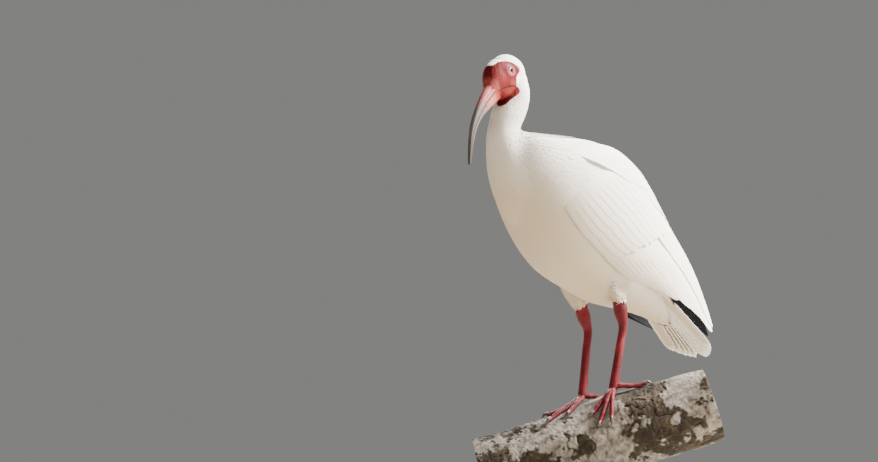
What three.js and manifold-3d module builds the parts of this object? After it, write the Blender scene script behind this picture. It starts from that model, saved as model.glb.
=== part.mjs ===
// A life-size still model of an adult American white ibis, standing on a short cut length of
// branch that a plain display stand carries. Millimetres, +Z up. The origin is the centre of
// the stand's underside. The bird heads towards -X, and its left side is towards -Y.
import * as THREE from 'three';
import { mergeVertices } from 'three/addons/utils/BufferGeometryUtils.js';
import Module from 'manifold-3d';

const wasm = await Module();
wasm.setup();

// Driving dimensions
const GAP = 0.3; // between touching pieces
const STANCE = new THREE.Vector3(12, 0, 165); // midpoint between the two feet
const BODY_PITCH = rad(38); // the body axis falls this much towards the tail
const BODY_CENTRE = [-33, 0, 193]; // from the stance
const HEAD_CENTRE = [-119.5, 0, 322.8]; // from the stance
const HEAD_YAW = rad(22); // the head turns this much to the bird's left
const EYE_RADIUS = 5;
const BILL_START_ANGLE = rad(40); // below the horizon, where the bill leaves the face
const BILL_END_ANGLE = rad(86);
const BILL_LENGTH = 97; // along its middle, from the bare skin of the face
const NECK_HEAD_CUT = 296; // height above the stance where the head meets the neck
const PERCH_RADIUS = 40;
const PERCH_LENGTH = 250;
const PERCH_SLOPE = rad(17.5);
const PERCH_TURN = rad(-40); // heading of the branch's upper end, from +X
const PERCH_DROP = 9; // the bark lies this far below the stance
const BASE_SIZE = [250, 210, 14];
const BASE_CORNER = 24;
const ROD_RADIUS = 5;
const ROD_SINK = 14; // how far each rod enters the branch
const ROD_STEP = 46; // each rod's distance from the stance, along the branch
const ROD_SOCKET = 6; // depth of each rod's socket in the base

function rad(degrees) {
  return (degrees * Math.PI) / 180;
}

const clamp01 = (x) => Math.min(1, Math.max(0, x));
const mix = (a, b, t) => a + (b - a) * t;
const smooth = (a, b, x) => {
  const t = clamp01((x - a) / (b - a));
  return t * t * (3 - 2 * t);
};
const vec = (x, y, z) => new THREE.Vector3(x, y, z);
const at = (list) => vec(...list).add(STANCE);

// A smooth curve through a few [x, y] stations, flat beyond both ends.
function profile(stations) {
  const n = stations.length;
  const slope = stations.map((_, i) => {
    const a = stations[Math.max(0, i - 1)];
    const b = stations[Math.min(n - 1, i + 1)];
    return (b[1] - a[1]) / (b[0] - a[0]);
  });
  return (x) => {
    if (x <= stations[0][0]) return stations[0][1];
    if (x >= stations[n - 1][0]) return stations[n - 1][1];
    let i = 0;
    while (x > stations[i + 1][0]) i += 1;
    const [x0, y0] = stations[i];
    const [x1, y1] = stations[i + 1];
    const h = x1 - x0;
    const t = (x - x0) / h;
    const hermite =
      y0 * (1 + 2 * t) * (1 - t) ** 2 +
      slope[i] * h * t * (1 - t) ** 2 +
      y1 * t * t * (3 - 2 * t) +
      slope[i + 1] * h * t * t * (t - 1);
    return hermite;
  };
}

// Solids

function solidOf(positions, triangles) {
  const geometry = new THREE.BufferGeometry();
  geometry.setAttribute('position', new THREE.BufferAttribute(new Float32Array(positions), 3));
  geometry.setIndex(triangles);
  return solidOfGeometry(geometry);
}

function solidOfGeometry(source) {
  const bare = source.clone();
  bare.deleteAttribute('normal');
  bare.deleteAttribute('uv');
  const merged = mergeVertices(bare, 1e-4);
  const vertProperties = merged.attributes.position.array;
  const triVerts = new Uint32Array(merged.index.array);
  const made = new wasm.Manifold(new wasm.Mesh({ numProp: 3, vertProperties, triVerts }));
  if (made.volume() > 0) return made;
  for (let i = 0; i < triVerts.length; i += 3) {
    [triVerts[i + 1], triVerts[i + 2]] = [triVerts[i + 2], triVerts[i + 1]];
  }
  return new wasm.Manifold(new wasm.Mesh({ numProp: 3, vertProperties, triVerts }));
}

// A closed skin through rings of equally many points, with a fan over each end.
function skin(rings) {
  const around = rings[0].length;
  const positions = [];
  const triangles = [];
  rings.forEach((ring) => ring.forEach((p) => positions.push(p.x, p.y, p.z)));
  for (let i = 0; i + 1 < rings.length; i += 1) {
    for (let j = 0; j < around; j += 1) {
      const a = i * around + j;
      const b = i * around + ((j + 1) % around);
      triangles.push(a, b, a + around, b, b + around, a + around);
    }
  }
  [rings[0], rings[rings.length - 1]].forEach((ring, end) => {
    const centre = ring.reduce((sum, p) => sum.add(p), vec(0, 0, 0)).divideScalar(around);
    const hub = positions.length / 3;
    const first = end ? (rings.length - 1) * around : 0;
    positions.push(centre.x, centre.y, centre.z);
    for (let j = 0; j < around; j += 1) {
      const a = first + j;
      const b = first + ((j + 1) % around);
      if (end) triangles.push(a, b, hub);
      else triangles.push(b, a, hub);
    }
  });
  return solidOf(positions, triangles);
}

// One ring of a body section: half-width w, heights t above and b below the centre.
function sectionRing({ c, x, z, w, t, b, n = 2 }, around) {
  const ring = [];
  for (let j = 0; j < around; j += 1) {
    const angle = (2 * Math.PI * j) / around;
    const cos = Math.cos(angle);
    const sin = Math.sin(angle);
    const across = Math.sign(cos) * Math.abs(cos) ** (2 / n) * w;
    const rise = Math.sign(sin) * Math.abs(sin) ** (2 / n) * (sin > 0 ? t : b);
    ring.push(c.clone().addScaledVector(x, across).addScaledVector(z, rise));
  }
  return ring;
}

const loft = (sections, around) => skin(sections.map((s) => sectionRing(s, around)));

// A round tube through points, with a radius at each.
function tube(points, radii, around, flatten = 1) {
  const path = new THREE.CatmullRomCurve3(points, false, 'centripetal');
  const steps = radii.length;
  const sections = radii.map((radius, i) => {
    const u = i / (steps - 1);
    const c = path.getPoint(u);
    const along = path.getTangent(u);
    const side = Math.abs(along.z) > 0.9 ? vec(0, 1, 0) : vec(0, 0, 1);
    const x = side.clone().cross(along).normalize();
    const z = along.clone().cross(x).normalize();
    return { c, x, z, w: radius, t: radius * flatten, b: radius * flatten };
  });
  return loft(sections, around);
}

// A ball stretched along three axes.
function ball(centre, x, y, z, radii, around = 20, rows = 12) {
  const sections = [];
  for (let i = 1; i < rows; i += 1) {
    const angle = (Math.PI * i) / rows;
    const scale = Math.sin(angle);
    sections.push({
      c: centre.clone().addScaledVector(x, -Math.cos(angle) * radii[0]),
      x: y,
      z,
      w: radii[1] * scale,
      t: radii[2] * scale,
      b: radii[2] * scale,
    });
  }
  return loft(sections, around);
}

const join = (solids) => wasm.Manifold.union(solids);

function largest(solid) {
  const bodies = solid.decompose();
  return bodies.reduce((best, body) => (body.volume() > best.volume() ? body : best));
}

// The part of a solid beyond a plane, on the side that its normal points to.
function beyond(solid, point, normal, inset = GAP / 2) {
  const unit = normal.clone().normalize();
  return solid.trimByPlane([unit.x, unit.y, unit.z], unit.dot(point) + inset);
}

// The body frame: `a` runs along the axis towards the tail, `h` towards the back.
const AXIS = vec(Math.cos(BODY_PITCH), 0, -Math.sin(BODY_PITCH));
const DORSAL = vec(Math.sin(BODY_PITCH), 0, Math.cos(BODY_PITCH));
const LATERAL = vec(0, 1, 0);
const BODY = at(BODY_CENTRE);
const bodyPoint = (a, y, h) =>
  BODY.clone().addScaledVector(AXIS, a).addScaledVector(LATERAL, y).addScaledVector(DORSAL, h);

// Outer form of the closed wings and back, at stations along the axis
const OUTER_WIDTH = profile([
  [-112, 2],
  [-92, 33],
  [-70, 46],
  [-35, 57],
  [10, 60],
  [60, 56],
  [115, 44],
  [165, 33],
  [229, 15],
]);
const OUTER_TOP = profile([
  [-112, 2],
  [-86, 23],
  [-49, 53],
  [-10, 75],
  [25, 81.5],
  [50, 78],
  [89, 69],
  [152, 57],
  [200, 40],
  [229, 27],
]);
const OUTER_BASE = profile([
  [-112, 2],
  [-89, 42],
  [-39, 69],
  [10, 80],
  [56, 71],
  [80, 64],
  [122, 41],
  [165, 26],
  [229, 9],
]);

// The torso itself, which is slimmer behind, where the wings stand clear of it
const TORSO_WIDTH = profile([
  [-112, 4],
  [-92, 33],
  [-70, 46],
  [-35, 56],
  [10, 57],
  [50, 51],
  [90, 37],
  [125, 25],
  [150, 17],
]);
const TORSO_TOP = profile([
  [-112, 4],
  [-86, 23],
  [-49, 53],
  [-10, 75],
  [25, 80],
  [50, 74],
  [89, 54],
  [125, 31],
  [150, 18],
]);
const TORSO_BASE = profile([
  [-112, 4],
  [-89, 42],
  [-39, 69],
  [10, 80],
  [56, 71],
  [80, 64],
  [122, 40],
  [150, 26],
]);
const TORSO_ENDS = [-112, 150];
const BODY_POWER = 2.08; // sections of the body are a little squarer than ellipses
const TAIL_CUT = 121; // the tail and its coverts begin here

function torsoLoft(grow = 0) {
  const sections = [];
  const steps = 18;
  for (let i = 0; i <= steps; i += 1) {
    // Stations crowd towards the breast, where the form turns fastest
    const a = mix(TORSO_ENDS[0] - grow, TORSO_ENDS[1] + grow, (i / steps) ** 1.35);
    sections.push({
      c: bodyPoint(a, 0, 0),
      x: LATERAL,
      z: DORSAL,
      w: TORSO_WIDTH(a) + grow,
      t: TORSO_TOP(a) + grow,
      b: TORSO_BASE(a) + grow,
      n: BODY_POWER,
    });
  }
  return loft(sections, 26);
}

// The neck, from inside the breast to inside the head: stations [x, z, half-width, half-depth]
const NECK = [
  [-84, 190, 30, 34],
  [-101, 212, 31, 34],
  [-114, 230, 27, 28],
  [-122, 245, 21.5, 21.5],
  [-126, 258, 17.5, 17.5],
  [-123, 269, 16.5, 17.2],
  [-118, 280, 16.8, 17.8],
  [-112.5, 292, 16.5, 17.8],
  [-110, 304, 16, 17.6],
  [-112.5, 316, 14.6, 16.6],
  [-115, 328, 11, 13],
];

function neckLoft() {
  const path = new THREE.CatmullRomCurve3(NECK.map(([x, z]) => at([x, 0, z])), false, 'centripetal');
  const width = profile(NECK.map(([, , w], i) => [i / (NECK.length - 1), w]));
  const depth = profile(NECK.map(([, , , d], i) => [i / (NECK.length - 1), d]));
  const sections = [];
  const steps = 17;
  for (let i = 0; i <= steps; i += 1) {
    const u = i / steps;
    const along = path.getTangent(u);
    const z = LATERAL.clone().cross(along).normalize();
    const d = depth(u);
    sections.push({ c: path.getPoint(u), x: LATERAL, z, w: width(u), t: d, b: d });
  }
  return loft(sections, 20);
}

// The head frame: `f` forward, `l` to the head's left, `u` up
const FORWARD = vec(-Math.cos(HEAD_YAW), -Math.sin(HEAD_YAW), 0);
const LEFT = vec(Math.sin(HEAD_YAW), -Math.cos(HEAD_YAW), 0);
const UP = vec(0, 0, 1);
const HEAD = at(HEAD_CENTRE);
const headPoint = (f, l, u) =>
  HEAD.clone().addScaledVector(FORWARD, f).addScaledVector(LEFT, l).addScaledVector(UP, u);
const EYE = { f: 14.6, l: 9.9, u: 0 };
const eyeCentre = (side) => headPoint(EYE.f, side * EYE.l, EYE.u);

// The bill leaves the face at its root and bends evenly from its first angle to its last
const BILL_ROOT = { f: 32.7, u: -19.8 };
const BILL_HEIGHT = profile([
  [0, 22.6],
  [0.18, 16.4],
  [0.34, 12.6],
  [0.5, 9.8],
  [0.75, 6.3],
  [1, 3.2],
]);
const BILL_WIDTH = profile([
  [0, 15],
  [0.18, 11.6],
  [0.34, 9.4],
  [0.5, 7.8],
  [0.75, 5.4],
  [1, 2.8],
]);
// Height of the line of the mouth, from the bill's middle
const MOUTH_HEIGHT = profile([
  [0, -5],
  [0.18, -2.4],
  [0.35, -0.6],
  [1, 0],
]);
const BILL_STEPS = 12;
const BILL_TIP = { length: 1.6, parting: 0.45 }; // the two tips end this far from the middle

// A direction in the head's upright plane, tilted down from level, and the normal above it
const tilted = (angle) =>
  vec(0, 0, 0).addScaledVector(FORWARD, Math.cos(angle)).addScaledVector(UP, -Math.sin(angle));
const above = (angle) =>
  vec(0, 0, 0).addScaledVector(FORWARD, Math.sin(angle)).addScaledVector(UP, Math.cos(angle));

function billPath() {
  const points = [];
  let { f, u } = BILL_ROOT;
  for (let i = 0; i <= BILL_STEPS; i += 1) {
    const share = i / BILL_STEPS;
    const angle = mix(BILL_START_ANGLE, BILL_END_ANGLE, share);
    points.push({ share, angle, c: headPoint(f, 0, u) });
    const next = mix(BILL_START_ANGLE, BILL_END_ANGLE, (i + 0.5) / BILL_STEPS);
    f += (Math.cos(next) * BILL_LENGTH) / BILL_STEPS;
    u -= (Math.sin(next) * BILL_LENGTH) / BILL_STEPS;
  }
  return points;
}
const BILL_PATH = billPath();
const BILL_FACE = { point: BILL_PATH[0].c, along: tilted(BILL_START_ANGLE) };

// One mandible: the bill's section above or below the line of the mouth.
function mandible(upper) {
  const around = 10;
  const rings = BILL_PATH.map(({ share, angle, c }) => {
    const half = BILL_HEIGHT(share) / 2;
    const wide = BILL_WIDTH(share) / 2;
    const mouth = MOUTH_HEIGHT(share) + (upper ? GAP / 2 : -GAP / 2);
    const reach = (upper ? half : -half) - mouth;
    const ring = [];
    for (let j = 0; j < around; j += 1) {
      const turn = (Math.PI * j) / (around - 1);
      const rise = mouth + reach * Math.max(0, Math.sin(turn)) ** (upper ? 1 : 0.9);
      ring.push(
        c.clone().addScaledVector(LEFT, Math.cos(turn) * wide).addScaledVector(above(angle), rise),
      );
    }
    return ring;
  });
  // The tip closes in over its last short length
  const last = BILL_PATH[BILL_STEPS];
  const onward = tilted(last.angle);
  const end = last.c.clone().addScaledVector(onward, BILL_TIP.length);
  end.addScaledVector(above(last.angle), upper ? BILL_TIP.parting : -BILL_TIP.parting);
  const closing = rings[BILL_STEPS].map((p) => p.clone().lerp(end, 0.6));
  closing.forEach((p) => p.addScaledVector(onward, BILL_TIP.length * 0.4));
  rings.push(closing);
  const solid = beyond(skin(rings), BILL_FACE.point, BILL_FACE.along);
  return upper ? solid.subtract(join([nostril(-1), nostril(1)])) : solid;
}

// A nostril: a slit in the upper mandible's groove, close to the face
const NOSTRIL = { share: 0.13, rise: 3.2, outward: 0.86, length: 4.6, height: 0.9, sink: 1.1 };
function nostril(side) {
  const { c, angle } = BILL_PATH[Math.round(NOSTRIL.share * BILL_STEPS)];
  const wide = BILL_WIDTH(NOSTRIL.share) / 2;
  const centre = c
    .clone()
    .addScaledVector(LEFT, side * wide * NOSTRIL.outward)
    .addScaledVector(above(angle), NOSTRIL.rise);
  const radii = [NOSTRIL.length, NOSTRIL.sink, NOSTRIL.height];
  return ball(centre, tilted(angle), LEFT, above(angle), radii, 8, 6);
}

// Face stations: middle [f, u], tilt, half-width, height above and below the middle
const FACE = [
  [0, -3, rad(10), 14.6, 15, 20],
  [7, -4, rad(16), 15.2, 16.5, 22],
  [14, -5.5, rad(22), 14.8, 17, 23.2],
  [20, -8, rad(28), 13, 17.3, 22.4],
  [25.5, -11.6, rad(34), 10.7, 17, 19.6],
  [30, -15.8, rad(38), 8.6, 14.6, 15.4],
  [32.7, -19.8, rad(40), 7.7, 11.6, 11.8],
  [36.7, -23.1, rad(40), 7.4, 11, 11],
];
const FACE_POWER = 2.12;
const CROWN = { centre: [-1, 0, 1], radii: [25.5, 16.6, 19.4] };

// The gape: the line of the mouth cut into each cheek, back from the bill's root
const GAPE = { end: { f: 17.5, u: -16.2 }, width: 0.7, sink: 1.6, cheeks: [7.7, 12.6], steps: 4 };
function gapeCut(side) {
  const start = BILL_PATH[0].c.clone().addScaledVector(above(BILL_START_ANGLE), MOUTH_HEIGHT(0));
  const end = headPoint(GAPE.end.f, 0, GAPE.end.u);
  const along = end.clone().sub(start).normalize();
  const across = LEFT.clone().cross(along).normalize().multiplyScalar(GAPE.width / 2);
  const faces = [[], []];
  for (let i = 0; i <= GAPE.steps; i += 1) {
    const t = i / GAPE.steps;
    const p = start.clone().lerp(end, t).addScaledVector(along, i === 0 ? -2 : 0);
    const cheek = mix(...GAPE.cheeks, smooth(0, 1, t));
    [cheek - GAPE.sink * (1 - 0.6 * t), cheek + 5].forEach((l) => {
      const edge = p.clone().addScaledVector(LEFT, side * l);
      faces[0].push(edge.clone().add(across));
      faces[1].push(edge.clone().sub(across));
    });
  }
  return slab(faces, GAPE.steps, 1);
}

// The head: a feathered crown over the bare skin of the face, which runs into the bill
function headSolid() {
  const crown = ball(headPoint(...CROWN.centre), FORWARD, LEFT, UP, CROWN.radii, 18, 11);
  const sections = FACE.map(([f, u, angle, w, t, b]) => ({
    c: headPoint(f, 0, u),
    x: LEFT,
    z: above(angle),
    w,
    t,
    b,
    n: FACE_POWER,
  }));
  return join([crown, loft(sections, 18)]);
}

// A lid's rim: a ring round the eye, lying on the face
const LID = { level: 0.6, span: 0.86, thickness: 1 };
function lid(side) {
  const out = LEFT.clone().multiplyScalar(side);
  const centre = eyeCentre(side).addScaledVector(out, EYE_RADIUS * LID.level);
  const geometry = new THREE.TorusGeometry(EYE_RADIUS * LID.span, LID.thickness, 6, 16);
  const turned = new THREE.Matrix4().makeBasis(FORWARD, UP, FORWARD.clone().cross(UP));
  turned.setPosition(centre);
  return solidOfGeometry(geometry.applyMatrix4(turned));
}

const eyeball = (side, grow = 0) => {
  const radius = EYE_RADIUS + grow;
  return ball(eyeCentre(side), LEFT, UP, FORWARD, [radius, radius, radius], 12, 8);
};

// The right wing's rear stands out a little from the body, and its flight feathers hang lower
const SPREAD = { [-1]: 0, 1: 0.36 }; // share of the body's half-width and depth
const TIP_DROOP = { [-1]: 0, 1: 42 }; // degrees round the body
// For each degree of droop, the feathers end this much sooner and bow this much less
const DROOP = { shortens: 0.6, straightens: 0.3 };

// The closed wing's surface: angle 0 is the side, 90 degrees the middle of the back.
function wingSurface(side, a, angle, lift) {
  const place = (s, t) => {
    const sin = Math.sin(t);
    const spread = 1 + SPREAD[side] * smooth(70, 170, s);
    const height = sin > 0 ? OUTER_TOP(s) : OUTER_BASE(s) * spread;
    return bodyPoint(s, side * OUTER_WIDTH(s) * spread * Math.cos(t), height * sin);
  };
  const p = place(a, angle);
  const alongAxis = place(a + 1, angle).sub(place(a - 1, angle));
  const round = place(a, angle + 0.02).sub(place(a, angle - 0.02));
  const normal = alongAxis.cross(round).normalize();
  if (normal.y * side < 0) normal.negate();
  const perRadian = round.length() / 0.04;
  return { p: p.addScaledVector(normal, lift), perRadian };
}

// The wing's own body, a curved shield let into the torso's side
const SHIELD = { front: -60, back: 76, low: rad(-35), high: rad(76), depth: 7, crown: 0.7 };
const SHIELD_RADIUS = 52; // of the body under it, on average
function wingShield(side, grow = 0) {
  const rows = 6;
  const columns = 7;
  const faces = [[], []];
  for (let i = 0; i <= columns; i += 1) {
    for (let j = 0; j <= rows; j += 1) {
      const v = (j / rows) * 2 - 1;
      const u = i / columns;
      // The shield's ends round off towards its upper and lower corners
      const bow = Math.sqrt(1 - (0.75 * v) ** 2);
      const middle = mix(SHIELD.front, SHIELD.back, 0.5);
      const reach = ((SHIELD.back - SHIELD.front) / 2) * bow + grow;
      const a = middle + (u * 2 - 1) * reach;
      const angle = mix(SHIELD.low, SHIELD.high, j / rows) + (grow / SHIELD_RADIUS) * v;
      const edge = Math.min(1, 3 * Math.min(u, 1 - u), 3 * Math.min(j / rows, 1 - j / rows));
      const top = wingSurface(side, a, angle, 0.2 + SHIELD.crown * edge + grow);
      const bottom = wingSurface(side, a, angle, -SHIELD.depth * mix(0.5, 1, edge) - grow);
      faces[0].push(top.p);
      faces[1].push(bottom.p);
    }
  }
  return slab(faces, columns, rows);
}

// The room that a closed wing takes, which the thigh stops short of
const WING_ROOM = { front: -70, back: 200, low: rad(-40), high: rad(60), out: 14 };
function wingRoom(side) {
  const rows = 8;
  const columns = 14;
  const faces = [[], []];
  for (let i = 0; i <= columns; i += 1) {
    for (let j = 0; j <= rows; j += 1) {
      const a = mix(WING_ROOM.front, WING_ROOM.back, i / columns);
      const angle = mix(WING_ROOM.low, WING_ROOM.high, j / rows);
      faces[0].push(wingSurface(side, a, angle, WING_ROOM.out).p);
      faces[1].push(wingSurface(side, a, angle, -SHIELD.depth - GAP).p);
    }
  }
  return slab(faces, columns, rows);
}

// A closed slab between two grids of points that are split into triangles alike.
function slab([top, bottom], columns, rows) {
  const positions = [];
  [...top, ...bottom].forEach((p) => positions.push(p.x, p.y, p.z));
  const count = top.length;
  const id = (i, j) => i * (rows + 1) + j;
  const triangles = [];
  for (let i = 0; i < columns; i += 1) {
    for (let j = 0; j < rows; j += 1) {
      const [p, q, r, s] = [id(i, j), id(i + 1, j), id(i + 1, j + 1), id(i, j + 1)];
      triangles.push(p, q, r, p, r, s);
      triangles.push(p + count, r + count, q + count, p + count, s + count, r + count);
    }
  }
  const edge = [];
  for (let i = 0; i < columns; i += 1) edge.push([id(i, 0), id(i + 1, 0)]);
  for (let j = 0; j < rows; j += 1) edge.push([id(columns, j), id(columns, j + 1)]);
  for (let i = columns; i > 0; i -= 1) edge.push([id(i, rows), id(i - 1, rows)]);
  for (let j = rows; j > 0; j -= 1) edge.push([id(0, j), id(0, j - 1)]);
  edge.forEach(([p, q]) => triangles.push(p, q + count, q, p, p + count, q + count));
  return solidOf(positions, triangles);
}

// A feather's thickness at its root and tip, the rise of one layer over the next, and its slope
const VANE = { root: 0.8, tip: 0.52, layer: 1.25, maxTilt: 0.16, camber: 0.3 };

// A feather's half-width along its length, as a share of its full half-width
function vaneShape(t) {
  const opening = mix(0.55, 1, smooth(0, 0.35, t));
  const closing = mix(1, 0.34, smooth(0.7, 1, t) ** 1.3);
  return Math.min(opening, closing);
}

// Stations shared by all feathers of a wing, so that feathers which overlap bend at one place
const VANE_STATION = 32;
function vaneStations(from, to) {
  const stations = [from];
  const margin = VANE_STATION * 0.35;
  const first = Math.ceil((from + margin) / VANE_STATION) * VANE_STATION;
  for (let a = first; a < to - margin; a += VANE_STATION) stations.push(a);
  return [...stations, to];
}

// One feather of the closed wing. Its lower edge stands out and its upper edge tucks under the
// next feather up, as tiles do. `bend` bows its path towards the wing's lower edge, and `tilts`
// are its slopes across, at its root and its tip.
function wingVane(side, { root, tip, half, lift, bend, tilts, rootLift }) {
  const faces = [[], []];
  const stations = vaneStations(root[0], tip[0]);
  stations.forEach((a) => {
    const t = (a - root[0]) / (tip[0] - root[0]);
    const angle = mix(root[1], tip[1], t) - bend * 4 * t * (1 - t);
    const level = mix(rootLift, lift, smooth(0, 0.35, t));
    const body = mix(VANE.root, VANE.tip, t) / 2;
    const { perRadian } = wingSurface(side, a, angle, 0);
    for (let j = -1; j <= 1; j += 1) {
      const across = j * half * vaneShape(t);
      const turn = Math.min(angle + across / Math.max(perRadian, 12), rad(87));
      const height = level - across * mix(...tilts, t) + (j === 0 ? VANE.camber : 0);
      faces[0].push(wingSurface(side, a, turn, height + body).p);
      faces[1].push(wingSurface(side, a, turn, height - body).p);
    }
  });
  return slab(faces, stations.length - 1, 2);
}

// The tiers of the closed wing, from the ones beneath to the ones on top. Each runs from its
// lowest feather to its highest, and `bow` moves the tips of the middle ones back.
const TIERS = {
  primaries: {
    count: 5,
    root: [[38, -28], [54, -18]],
    tip: [[236, 37], [188, 20]],
    half: [7, 8.5],
    lift: [-7.4, -2.6],
    bend: 20,
    rise: -1.6,
    stacked: true,
  },
  secondaries: {
    count: 6,
    root: [[14, -26], [54, 16]],
    tip: [[108, -16], [212, 38]],
    half: [10, 10],
    lift: [-0.4, -0.2],
    bend: 7,
  },
  tertials: {
    count: 4,
    root: [[40, 26], [34, 62]],
    tip: [[218, 45], [142, 70]],
    half: [11, 12],
    lift: [0.9, 1.1],
  },
  greaterCoverts: {
    count: 5,
    root: [[-24, -27], [-8, 34]],
    tip: [[46, -27], [92, 38]],
    half: [11, 11],
    lift: [2, 2.2],
  },
  scapulars: {
    count: 5,
    root: [[-62, 26], [-34, 67]],
    tip: [[18, 36], [64, 71]],
    half: [12, 13],
    lift: [3, 3],
    bow: 34,
  },
};

// The slope that lifts each feather's edge one layer clear of its neighbour, `pitch` away
const layerSlope = (pitch) => Math.min(VANE.maxTilt, VANE.layer / pitch);

function tierVanes(side, tier) {
  const { count, root, tip, half, lift, rise = 4, bend = 0, bow = 0, stacked } = tier;
  const spacing = ([[a, low], [b, high]]) => {
    const middle = rad((low + high) / 2);
    const span = rad(high - low) * wingSurface(side, (a + b) / 2, middle, 0).perRadian;
    return span / (count - 1);
  };
  const tilts = stacked ? [0, 0] : [layerSlope(spacing(root)), layerSlope(spacing(tip))];
  const droop = stacked ? TIP_DROOP[side] : 0;
  const pieces = [];
  for (let i = 0; i < count; i += 1) {
    const t = i / (count - 1);
    const tipAngle = mix(tip[0][1], tip[1][1], t) - droop;
    pieces.push(
      wingVane(side, {
        root: [mix(root[0][0], root[1][0], t), rad(mix(root[0][1], root[1][1], t))],
        tip: [mix(tip[0][0], tip[1][0], t) - droop * DROOP.shortens + bow * 4 * t * (1 - t), rad(tipAngle)],
        half: mix(half[0], half[1], t),
        lift: mix(lift[0], lift[1], t),
        rootLift: mix(lift[0], lift[1], t) - rise,
        bend: rad(bend - droop * DROOP.straightens),
        tilts,
      }),
    );
  }
  return pieces;
}

function wingSolid(side) {
  const vanes = Object.values(TIERS).flatMap((tier) => tierVanes(side, tier));
  const inside = join([torsoLoft(GAP), tailCoverts(GAP * 1.5), tailFan(GAP)]);
  const clear = join(vanes).subtract(inside);
  return largest(join([wingShield(side), clear]));
}

// The tail: coverts round its root, and twelve feathers fanned a little
const TAIL = {
  pairs: 6,
  root: 112,
  tip: 227,
  sink: 16, // how far the tip hangs below the axis
  rootFan: [2, 7], // middles of the inner and outer feathers from the midline, at the root
  fan: [3.5, 28], // the same at the tip
  flare: 0.6, // how soon the fan opens
  half: 8.6,
  layer: 0.17, // rise of each feather's outer edge over its inner edge, per millimetre
  swing: 13, // how far the tips swing to the bird's left
  short: 16, // the outer feathers end this much short of the others
};
const TAIL_ROOF = { half: 30, drop: 3 }; // the fan falls away to both sides like a roof

function tailVane(order, side, grow = 0) {
  // The middle pair lies on top, and each outer feather tucks under the one inside it
  const share = order / (TAIL.pairs - 1);
  const steps = 4;
  const faces = [[], []];
  const tipA = TAIL.tip - TAIL.short * share ** 2 - (order === 0 ? 5 : 0) + grow;
  const topLift = order === 0 && side > 0 ? 1.2 : 0;
  for (let i = 0; i <= steps; i += 1) {
    const t = i / steps;
    const a = mix(TAIL.root, tipA, t);
    const y = mix(mix(...TAIL.rootFan, share), mix(...TAIL.fan, share), t ** TAIL.flare);
    const h = mix(1, -TAIL.sink, t ** 0.85) + topLift;
    const body = mix(VANE.root, VANE.tip, t) / 2 + grow;
    const swing = TAIL.swing * t;
    for (let j = -1; j <= 1; j += 1) {
      const inner = order === 0 && j < 0 ? 0.6 : 1;
      const across = j * (TAIL.half * vaneShape(t) * inner + grow);
      const wide = y + across;
      const roof = TAIL_ROOF.drop * (wide / TAIL_ROOF.half) ** 2;
      const height = h - roof + across * TAIL.layer;
      faces[0].push(bodyPoint(a, side * wide - swing, height + body));
      faces[1].push(bodyPoint(a, side * wide - swing, height - body));
    }
  }
  return slab(faces, steps, 2);
}

const COVERTS = { end: 178, sink: 11, width: 18, top: 8, base: 13 };
function tailCoverts(grow = 0) {
  const sections = [];
  const steps = 6;
  for (let i = 0; i <= steps; i += 1) {
    const t = i / steps;
    const fade = Math.sqrt(1 - (0.97 * t) ** 2);
    sections.push({
      c: bodyPoint(mix(TAIL_CUT - 6, COVERTS.end + grow, t), 0, mix(-1, -COVERTS.sink, t)),
      x: LATERAL,
      z: DORSAL,
      w: mix(TORSO_WIDTH(TAIL_CUT), COVERTS.width, t) * mix(1, fade, 0.8) + grow,
      t: mix(TORSO_TOP(TAIL_CUT), COVERTS.top, t) * fade + grow,
      b: mix(TORSO_BASE(TAIL_CUT) - 1, COVERTS.base, t) * fade + grow,
      n: BODY_POWER,
    });
  }
  return loft(sections, 18);
}

function tailFan(grow = 0) {
  const vanes = [];
  for (let order = 0; order < TAIL.pairs; order += 1) {
    vanes.push(tailVane(order, -1, grow), tailVane(order, 1, grow));
  }
  return join(vanes);
}

function tailSolid() {
  const whole = join([tailCoverts(), tailFan()]);
  return largest(beyond(whole, bodyPoint(TAIL_CUT, 0, 0), AXIS));
}

// Legs. Stations from the stance: hip, lower thigh, end of the feathers, ankle and foot
const LEGS = {
  left: {
    side: -1,
    hip: [-10, -36, 158],
    knee: [3.5, -34, 124],
    bare: [6.5, -26, 103],
    ankle: [14.6, -24, 67],
    foot: [4, -20, 3],
  },
  right: {
    side: 1,
    hip: [-16, 36, 154],
    knee: [-5.5, 34, 118],
    bare: [-2.5, 26, 97],
    ankle: [7.5, 24, 65],
    foot: [-4, 20, -3],
  },
};

const THIGH_RADII = [30, 29.5, 27.5, 23.5, 18.5, 13.5, 10, 7.2];
function thighLoft({ hip, knee, bare }) {
  return tube([at(hip), at(knee), at(bare).addScaledVector(UP, -1)], THIGH_RADII, 16);
}

// The bare leg, with the knob of the ankle a third of the way down
const SHANK_RADII = [5.2, 5.1, 5.5, 6.5, 7.2, 6.2, 4.9, 4.4, 4.2, 4.3, 4.5, 4.9];
function shankLoft({ bare, ankle, foot }, grow = 0) {
  const [top, joint, base] = [at(bare), at(ankle), at(foot)];
  const points = [top, top.clone().lerp(joint, 0.6), joint, joint.clone().lerp(base, 0.3), base];
  return tube(points, SHANK_RADII.map((radius) => radius + grow), 10);
}

// The branch frame: `t` along it, `angle` round it from its top, positive away from the viewer
const BRANCH = {
  centre: at([0, 0, -PERCH_DROP - PERCH_RADIUS / Math.cos(PERCH_SLOPE)]),
  along: vec(
    Math.cos(PERCH_SLOPE) * Math.cos(PERCH_TURN),
    Math.cos(PERCH_SLOPE) * Math.sin(PERCH_TURN),
    Math.sin(PERCH_SLOPE),
  ),
};
BRANCH.far = vec(-Math.sin(PERCH_TURN), Math.cos(PERCH_TURN), 0);
BRANCH.top = BRANCH.along.clone().cross(BRANCH.far).normalize();

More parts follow.
